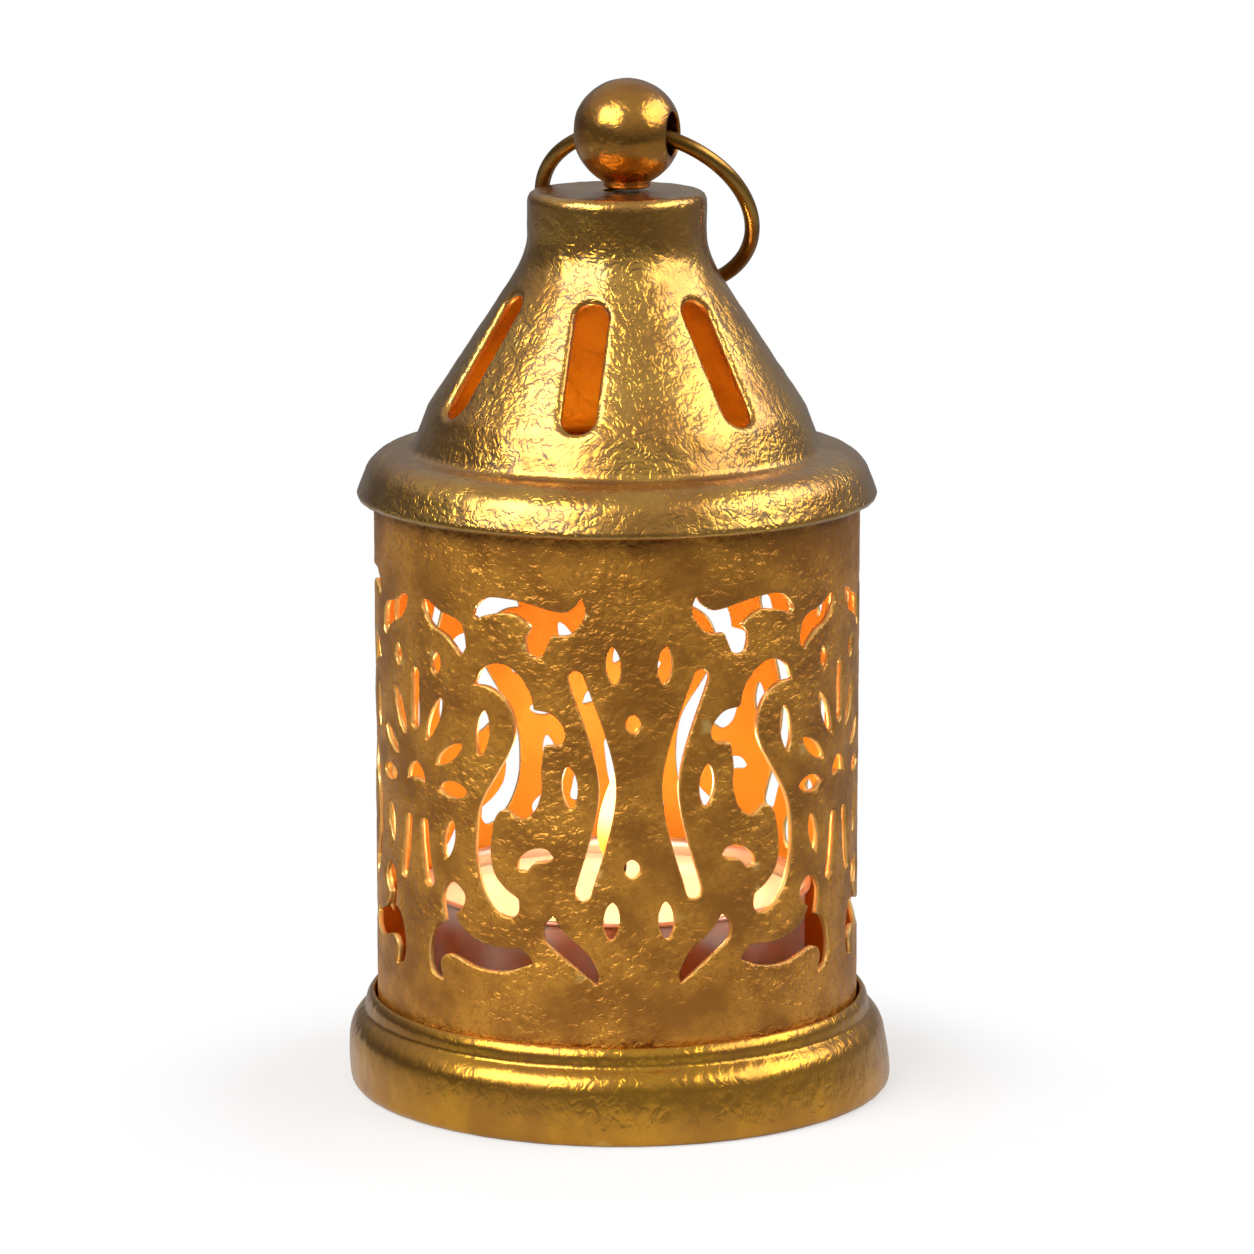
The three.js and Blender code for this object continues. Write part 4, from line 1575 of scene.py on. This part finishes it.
@dataclass
class Finial:
    """The drilled ball on its boss, the screw inside the cap and the carrying ring."""

    finishes: Finishes
    hole_radius: float = 2.15
    hole_angle: float = 17.7
    ball_radius: float = 5.3
    edge_round: float = 0.3
    edge_turn: float = 4.0
    edge_pull: Point = (0.12, 0.02)
    boss_radius: float = 2.3
    boss_rise: float = 1.4
    boss_round: float = 0.15
    boss_flare: float = 0.3
    wire_radius: float = 0.75
    ring_radius: float = 10.7
    ring_gap: float = 0.6
    ring_reach_gap: float = 0.3
    ring_lean: float = 37.7
    bumps: Point = (2.6, 0.05)
    segments: int = 144
    spacing: float = 0.2

    def axes(self) -> tuple[np.ndarray, np.ndarray, np.ndarray]:
        """Finds the ball in the frame.

        Returns:
            The ball's centre, the direction of its hole and the level direction square to the
            hole, towards the back.
        """
        low, high = node_box("finial_ball")
        centre = np.array([(low[0] + high[0]) / 2, 0, high[2] - self.ball_radius])
        turn = math.radians(self.hole_angle)
        along = np.array([math.cos(turn), -math.sin(turn), 0])
        back = np.array([math.sin(turn), math.cos(turn), 0])
        return centre, along, back

    def ball(self) -> Mesh:
        """Turns the ball round its hole, and its boss round a plumb line.

        Returns:
            The mesh of both.
        """
        centre, along, back = self.axes()
        radius, inner = self.ball_radius, self.hole_radius
        rim = math.degrees(math.asin(inner / radius)) + self.edge_turn
        depth = math.sqrt(radius**2 - inner**2)
        arc = ellipse_arc((0, 0), (radius, radius), rim - 90, 90 - rim, 72)
        pull = (inner + self.edge_pull[0], depth - self.edge_pull[1])
        straight = depth - self.edge_round
        section = [
            *arc,
            *bend(arc[-1], pull, (inner, straight), 5),
            *bend((inner, -straight), (pull[0], -pull[1]), arc[0], 5),
        ]
        bead = Profile(section, self.spacing, closed=True).turned(
            self.segments, lambda places: bumpy(places, self.bumps))
        x, y, z = bead.points.T
        up = np.array([0, 0, 1.0])
        bead.points = centre + np.outer(z, along) + np.outer(x, back) + np.outer(-y, up)
        foot = node_box("finial_ball")[0][2]
        top, side = foot + self.boss_rise, self.boss_radius
        boss = Profile([
            (AXIS_GAP, foot), (side - self.boss_round, foot),
            *bend((side, foot + self.boss_round), (side, top), (side + self.boss_flare, top), 6),
            (AXIS_GAP, top),
        ], self.spacing).turned(self.segments // 2, lambda places: np.zeros(len(places)))
        boss.points += [centre[0], 0, 0]
        return bead.joined(boss)

    def ring(self, sides: int = 20, steps: int = 220) -> Mesh:
        """Bends the wire into its open loop, leaning back on the cone.

        Args:
            sides: Number of facets round the wire.
            steps: Number of stretches along it.

        Returns:
            The mesh.
        """
        centre, along, back = self.axes()
        lean = math.radians(self.ring_lean)
        down = math.sin(lean) * back - np.array([0, 0, math.cos(lean)])
        normal = np.cross(along, down)
        reach = self.ring_radius - self.wire_radius - self.ring_reach_gap
        rim = math.sqrt(self.ball_radius**2 - self.hole_radius**2)
        hang = self.hole_radius + math.sqrt(reach**2 - rim**2)
        half_gap = self.ring_gap / 2 / self.ring_radius
        turns = np.linspace(half_gap, 2 * math.pi - half_gap, steps + 1)
        around = np.linspace(0, 2 * math.pi, sides, endpoint=False)
        middle = centre + hang * down
        points = []
        for turn in turns:
            out = math.sin(turn) * along - math.cos(turn) * down
            wire = middle + self.ring_radius * out
            for angle in around:
                across = math.cos(angle) * out + math.sin(angle) * normal
                points.append(wire + self.wire_radius * across)
        return rod(np.array(points), sides)

    def build(self) -> None:
        """Makes and dresses the ball, the ring and the screw."""
        gold = self.finishes.gold(
            "ball_gold", light=srgb(212, 150, 42), deep=srgb(172, 110, 20), cells=900.0,
            crease=0.03, pebble=0.06, roughness=0.22, coat=0.6)
        settle(self.ball().made("finial_bead", [gold]), Body.UPPER, Slot.GOLD, "finial_ball")
        brass = self.finishes.drawn(
            "ring_wire_brass", light=srgb(176, 134, 66), dull=srgb(122, 84, 34),
            roughness=0.24, scratches=0.012)
        wire = self.ring().made("ring_wire", [brass])
        settle(wire, Body.RING, Slot.RING, "carrying_ring")
        steel = self.finishes.drawn(
            "plated_steel", light=srgb(196, 196, 200), dull=srgb(140, 138, 136),
            roughness=0.3, scratches=0.01)
        for node in ("finial_screw", "wick_sustainer"):
            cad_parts[node].material_slots[0].material = steel
            log.info("%s keeps its solid", node)


@dataclass
class Tealight:
    """The candle: drawn cup, wax with a melted pool, wick and flame."""

    finishes: Finishes
    cup_wall: float = 0.3
    rim_roll: float = 0.6
    roll_turns: Point = (-140, 150)
    foot_round: float = 0.7
    cup_bumps: Point = (4.0, 0.03)
    cup_spacing: float = 0.28
    wax_foot_gap: float = 1.0
    wax_foot_round: Point = (1.2, 1.0)
    wax_edge_round: Point = (0.5, 0.3)
    wax_bumps: Point = (9.0, 0.05)
    wax_spacing: float = 0.4
    pool_depth: float = 1.1
    pool_radius: float = 13.5
    pool_bank: Point = (1.5, 0.1)
    pool_foot: Point = (2.0, 0.25)
    wick_radius: float = 0.62
    wick_climb: tuple[float, float, float] = (2.2, 1.0, 0.5)
    wick_end_gap: float = 0.2
    wick_burnt: float = 5.8
    wick_lean: float = 0.55
    wick_lean_start: float = 0.75
    wick_taper: float = 0.35
    wick_taper_start: float = 0.9
    strands: int = 3
    strand_pitch: float = 2.2
    strand_relief: float = 0.12
    flame_width: float = 3.6
    flame_height: float = 13.5
    flame_foot: Point = (-0.5, 22.2)
    flame_tip_shift: float = 2.5
    flame_curl: float = 1.4
    flame_sink: float = 0.62
    flame_fullness: float = 0.85
    flame_swell: float = 1.08
    flame_thinning: float = 0.2
    flame_ends: Point = (0.01, 0.995)
    flame_steps: int = 40
    flame_spacing: float = 0.25
    flame_power: float = 0.018
    draught_rise: float = 2.3
    draught_power: float = 0.0025
    lamp_colour: tuple[float, float, float] = (1.0, 0.8, 0.5)
    lamp_radius: float = 1.6
    lamp_aside: float = 0.3
    segments: int = 180

    def cup(self) -> Mesh:
        """Turns the thin cup with its rolled rim.

        Returns:
            The mesh.
        """
        low, high = node_box("candle_cup")
        rim, foot, top = high[0], low[2], high[2]
        side = rim - self.rim_roll
        inner, floor = side - self.cup_wall, foot + self.cup_wall
        roll = self.rim_roll / 2
        bottom, upright = side - self.foot_round, foot + self.foot_round
        line = [
            (AXIS_GAP, foot), (bottom, foot),
            *bend((bottom, foot), (side, foot), (side, upright), 6),
            (side, top - self.rim_roll),
            *ellipse_arc((rim - roll, top - roll), (roll, roll), *self.roll_turns, 18),
            (inner, top - self.rim_roll),
            *bend((inner, upright), (inner, floor), (bottom, floor), 5),
            (AXIS_GAP, floor),
        ]
        return Profile(line, self.cup_spacing).turned(
            self.segments, lambda places: bumpy(places, self.cup_bumps))

    def wax(self) -> Mesh:
        """Casts the wax, with a pool melted round the wick.

        Returns:
            The mesh.
        """
        low, high = node_box("candle_wax")
        edge, top = high[0], high[2]
        foot, pool = low[2] + self.wax_foot_gap, top - self.pool_depth
        bottom, upright = edge - self.wax_foot_round[0], foot + self.wax_foot_round[1]
        flat, side_top = edge - self.wax_edge_round[0], top - self.wax_edge_round[1]
        climb_start, climb_pull, climb_rise = self.wick_climb
        line = [
            (AXIS_GAP, foot), (bottom, foot),
            *bend((bottom, foot), (edge, foot), (edge, upright), 6),
            (edge, side_top),
            *bend((edge, side_top), (edge, top), (flat, top), 5),
            *smooth_run([
                (flat, top),
                (self.pool_radius + self.pool_bank[0], top - self.pool_bank[1]),
                (self.pool_radius, pool + self.pool_foot[1]),
                (self.pool_radius - self.pool_foot[0], pool),
            ], 8),
            (climb_start, pool),
            *bend((climb_start, pool), (climb_pull, pool),
                  (self.wick_radius, pool + climb_rise), 6),
            (AXIS_GAP, pool + climb_rise),
        ]
        return Profile(line, self.wax_spacing).turned(
            self.segments, lambda places: bumpy(places, self.wax_bumps))

    def wick(self, sides: int = 16, steps: int = 60) -> Mesh:
        """Braids the wick, curling a little at its tip.

        Args:
            sides: Number of facets round it.
            steps: Number of stretches along it.

        Returns:
            The mesh.
        """
        low, high = node_box("candle_wick")
        foot = low[2] + self.wick_end_gap
        rise = high[2] - self.wick_end_gap - foot
        points = []
        for step in range(steps + 1):
            share = step / steps
            leaning = max(0.0, share - self.wick_lean_start) / (1 - self.wick_lean_start)
            tapering = max(0.0, share - self.wick_taper_start) / (1 - self.wick_taper_start)
            even = self.wick_radius * (1 - self.wick_taper * tapering)
            climb = 2 * math.pi * share * rise / self.strand_pitch
            for side in range(sides):
                turn = 2 * math.pi * side / sides
                twist = self.strands * turn + climb
                radius = even * (1 + self.strand_relief * math.cos(twist))
                points.append((
                    self.wick_lean * leaning + radius * math.cos(turn),
                    radius * math.sin(turn),
                    foot + share * rise,
                ))
        return rod(np.array(points), sides)

    def flame(self) -> Mesh:
        """Shapes the flame: a drop, widest low down, that leans with the draught.

        Returns:
            The mesh.
        """
        shares = np.linspace(*self.flame_ends, self.flame_steps)
        belly = np.sin(math.pi * shares**self.flame_sink) ** self.flame_fullness
        widths = self.flame_width / 2 * belly * (self.flame_swell - self.flame_thinning * shares)
        line = list(zip(widths, shares * self.flame_height))
        mesh = Profile(line, self.flame_spacing).turned(
            self.segments // 5, lambda places: np.zeros(len(places)))
        share = mesh.points[:, 2] / self.flame_height
        mesh.points[:, 0] += self.flame_foot[0] + self.flame_tip_shift * share**self.flame_curl
        mesh.points[:, 2] += self.flame_foot[1]
        return mesh

    def build(self) -> None:
        """Makes and dresses the candle and lights it."""
        foil = self.finishes.drawn(
            "cup_foil", light=srgb(234, 224, 216), dull=srgb(222, 210, 200),
            roughness=0.36, scratches=0.006)
        settle(self.cup().made("tealight_cup", [foil]), Body.TEALIGHT, Slot.CUP, "candle_cup")
        wax = CandleWax().made(self.finishes.effects)
        settle(self.wax().made("tealight_wax", [wax]), Body.TEALIGHT, Slot.WAX, "candle_wax")
        tip = node_box("candle_wick")[1][2] - self.wick_end_gap
        cotton = BurntCotton(tip - self.wick_burnt, tip).made(self.finishes.effects)
        settle(self.wick().made("tealight_wick", [cotton]), Body.TEALIGHT, Slot.WICK, "candle_wick")
        foot = self.flame_foot[1]
        glow = FlameGlow(foot, foot + self.flame_height).made()
        flame = self.flame().made("candle_flame", [glow])
        flame.visible_shadow = False
        settle(flame, Body.TEALIGHT, Slot.WAX)
        self.glow("flame_light", foot + self.flame_height / 2, self.flame_power)
        self.glow("draught_light", foot + self.draught_rise * self.flame_height,
                  self.draught_power)

    def glow(self, name: str, height: float, power: float) -> None:
        """Hangs a small warm lamp over the wick, which lights the lantern from inside.

        Args:
            name: The lamp's name.
            height: Its height in millimetres.
            power: Its power in watts.
        """
        lamp = bpy.data.lights.new(name, "POINT")
        lamp.energy = power
        lamp.color = self.lamp_colour
        lamp.shadow_soft_size = self.lamp_radius * MM
        glowing = placed(name, lamp)
        glowing.location = (self.lamp_aside * MM, 0, height * MM)
        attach(glowing, Body.TEALIGHT.value)


@dataclass(frozen=True)
class Softbox:
    """A rectangular lamp that faces the lantern.

    Its azimuth is counted from the front, towards +X, and its elevation from the horizon, both
    in degrees. Its width, height and distance are in metres, and its power is in watts.
    """

    name: str
    azimuth: float
    elevation: float
    size: Point
    power: float
    distance: float = 1.1
    aim_height: float = 0.05

    def hang(self) -> None:
        """Hangs the lamp."""
        lamp = bpy.data.lights.new(self.name, "AREA")
        lamp.shape = "RECTANGLE"
        lamp.size, lamp.size_y = self.size
        lamp.energy = self.power
        turn, rise = math.radians(self.azimuth), math.radians(self.elevation)
        outward = Vector((math.sin(turn) * math.cos(rise), -math.cos(turn) * math.cos(rise),
                          math.sin(rise)))
        box = placed(self.name, lamp)
        box.location = Vector((0, 0, self.aim_height)) + self.distance * outward
        box.rotation_euler = outward.to_track_quat("Z", "Y").to_euler()


@dataclass
class Studio:
    """Camera, floor, surroundings and softboxes.

    Lengths are in metres, but the lens's and the sensor's are in millimetres, and angles are in
    degrees.
    """

    camera_distance: float = 0.539
    camera_height: float = 0.1475
    camera_aside: float = 0.00099
    camera_pitch: float = 10.68
    focal_length: float = 158.7
    sensor_width: float = 36.0
    near_limit: float = 0.05
    softboxes: tuple[Softbox, ...] = (
        Softbox("left_softbox", azimuth=-47, elevation=41, size=(0.85, 0.6), power=10.4),
        Softbox("right_softbox", azimuth=86, elevation=38, size=(1.15, 0.55), power=6.4),
    )
    left_wall: Colour = (0.1, 0.1, 0.1, 1.0)
    right_wall: Colour = (0.24, 0.24, 0.24, 1.0)
    ceiling: Colour = (0.5, 0.5, 0.5, 1.0)
    wall_change: Point = (-0.9, 0.3)
    ceiling_change: Point = (0.15, 0.7)
    floor_half: float = 6.0
    floor_colour: Colour = (0.4, 0.4, 0.4, 1.0)
    floor_roughness: float = 0.9
    floor_fill: float = 0.52
    # Metal sees the floor through a painted reflection: a share of its white that falls from near to
    # far.
    mirrored_near: float = 0.44
    mirrored_far: float = 0.2
    mirror_start: float = 0.1
    mirror_end: float = 0.5
    shadow_lead: float = 0.008
    shadow_start: float = 0.03
    shadow_end: float = 0.053
    # The card below is a painted dark reflection: a sheet that only metal mirrors.
    card_start: float = 0.3
    card_end: float = 3.0
    card_half_width: float = 2.0
    card_rise: float = 0.001
    card_colour: Colour = (0.02, 0.02, 0.02, 1.0)

    def place_camera(self) -> None:
        """Sets the camera where the photograph was taken from."""
        camera = bpy.data.cameras.new("camera")
        camera.lens = self.focal_length
        camera.sensor_width = self.sensor_width
        camera.clip_start = self.near_limit
        eye = placed("camera", camera)
        eye.location = (self.camera_aside, -self.camera_distance, self.camera_height)
        eye.rotation_euler = (math.radians(90 - self.camera_pitch), 0, 0)
        bpy.context.scene.camera = eye

    def level_sheet(self, name: str, low: Point, high: Point, height: float,
                    material: bpy.types.Material) -> bpy.types.Object:
        """Lays a level rectangle.

        Args:
            name: Its name.
            low: Its corner at the front left.
            high: Its corner at the back right.
            height: Its height above the floor.
            material: Its material.

        Returns:
            The object.
        """
        mesh = bpy.data.meshes.new(name)
        corners = (low, (high[0], low[1]), high, (low[0], high[1]))
        mesh.from_pydata([(x, y, height) for x, y in corners], [], [(0, 1, 2, 3)])
        mesh.materials.append(material)
        return placed(name, mesh)

    def lay_floor(self) -> None:
        """Lays the white floor, which keeps the lantern's shadow."""
        material, desk, shader = new_material("white_floor")
        desk.feed(shader, {
            "Base Color": self.floor_colour,
            "Roughness": self.floor_roughness,
            "Specular IOR Level": 0.0,
        })
        place = desk.add("ShaderNodeTexCoord").outputs["Object"]
        moved = desk.add("ShaderNodeVectorMath", {0: place, 1: (0, self.shadow_lead, 0)})
        away = desk.length(moved.outputs[0])
        share = desk.remap(away, self.mirror_start, self.mirror_end, self.mirrored_near,
                           self.mirrored_far)
        path = desk.add("ShaderNodeLightPath").outputs
        through = desk.math("MAXIMUM", path["Is Camera Ray"], path["Is Transmission Ray"])
        # Painted reflection: glossy rays see the floor dimmed, more so far from the lantern.
        painted_floor_reflection = desk.math("MULTIPLY", path["Is Glossy Ray"], share)
        seen = desk.math("MAXIMUM", through, painted_floor_reflection)
        fill = desk.add("ShaderNodeEmission", {
            "Color": (1, 1, 1, 1), "Strength": desk.math("MULTIPLY", seen, self.floor_fill),
        })
        both = desk.add("ShaderNodeAddShader", {0: shader.outputs[0], 1: fill.outputs[0]})
        paper = desk.add("ShaderNodeEmission", {"Color": (1, 1, 1, 1), "Strength": seen})
        far = desk.remap(away, self.shadow_start, self.shadow_end)
        swept = desk.add("ShaderNodeMixShader", {0: far, 1: both.outputs[0], 2: paper.outputs[0]})
        desk.feed(desk.tree.nodes["Material Output"], {"Surface": swept.outputs[0]})
        half = self.floor_half
        floor = self.level_sheet("floor", (-half, -half), (half, half), 0, material)

    def lay_painted_reflection_card(self) -> None:
        """Lays a dark card before the lantern, unseen by the camera, that only polished metal
        mirrors: a painted dark reflection.
        """
        material, desk, shader = new_material("painted_reflection_card")
        desk.feed(shader, {"Base Color": self.card_colour})
        card = self.level_sheet(
            "painted_reflection_card", (-self.card_half_width, -self.card_end),
            (self.card_half_width, -self.card_start), self.card_rise, material)
        card.visible_camera = False
        card.visible_diffuse = False
        card.visible_shadow = False

    def surround(self) -> None:
        """Sets the room: white behind the lantern, dim walls and a paler ceiling."""
        world = bpy.context.scene.world or bpy.data.worlds.new("room")
        bpy.context.scene.world = world
        world.use_nodes = True
        desk = NodeDesk(world.node_tree)
        desk.tree.nodes.clear()
        direction = desk.add("ShaderNodeTexCoord").outputs["Generated"]
        axes = desk.add("ShaderNodeSeparateXYZ", {0: direction}).outputs
        overhead = desk.remap(axes[2], *self.ceiling_change)
        rightward = desk.remap(axes[0], *self.wall_change)
        walls = desk.blend(rightward, self.left_wall, self.right_wall)
        room = desk.blend(overhead, walls, self.ceiling)
        path = desk.add("ShaderNodeLightPath").outputs
        shown = desk.blend(path["Is Camera Ray"], room, (1, 1, 1, 1))
        background = desk.add("ShaderNodeBackground", {"Color": shown, "Strength": 1.0})
        desk.add("ShaderNodeOutputWorld", {"Surface": background.outputs[0]})

    def light(self) -> None:
        """Hangs the softboxes."""
        for softbox in self.softboxes:
            softbox.hang()


def main() -> None:
    """Builds the camera, the lantern and the studio, in that order."""
    logging.basicConfig(level=logging.INFO, format="%(message)s")
    studio = Studio()
    studio.place_camera()
    finishes = Finishes()
    for part in (PressedBase(finishes), Sleeve(finishes), Cap(finishes), Finial(finishes),
                 Tealight(finishes)):
        part.build()
    studio.lay_floor()
    studio.lay_painted_reflection_card()
    studio.surround()
    studio.light()
    bpy.context.scene.view_settings.view_transform = "Standard"


if __name__ == "__main__":
    main()
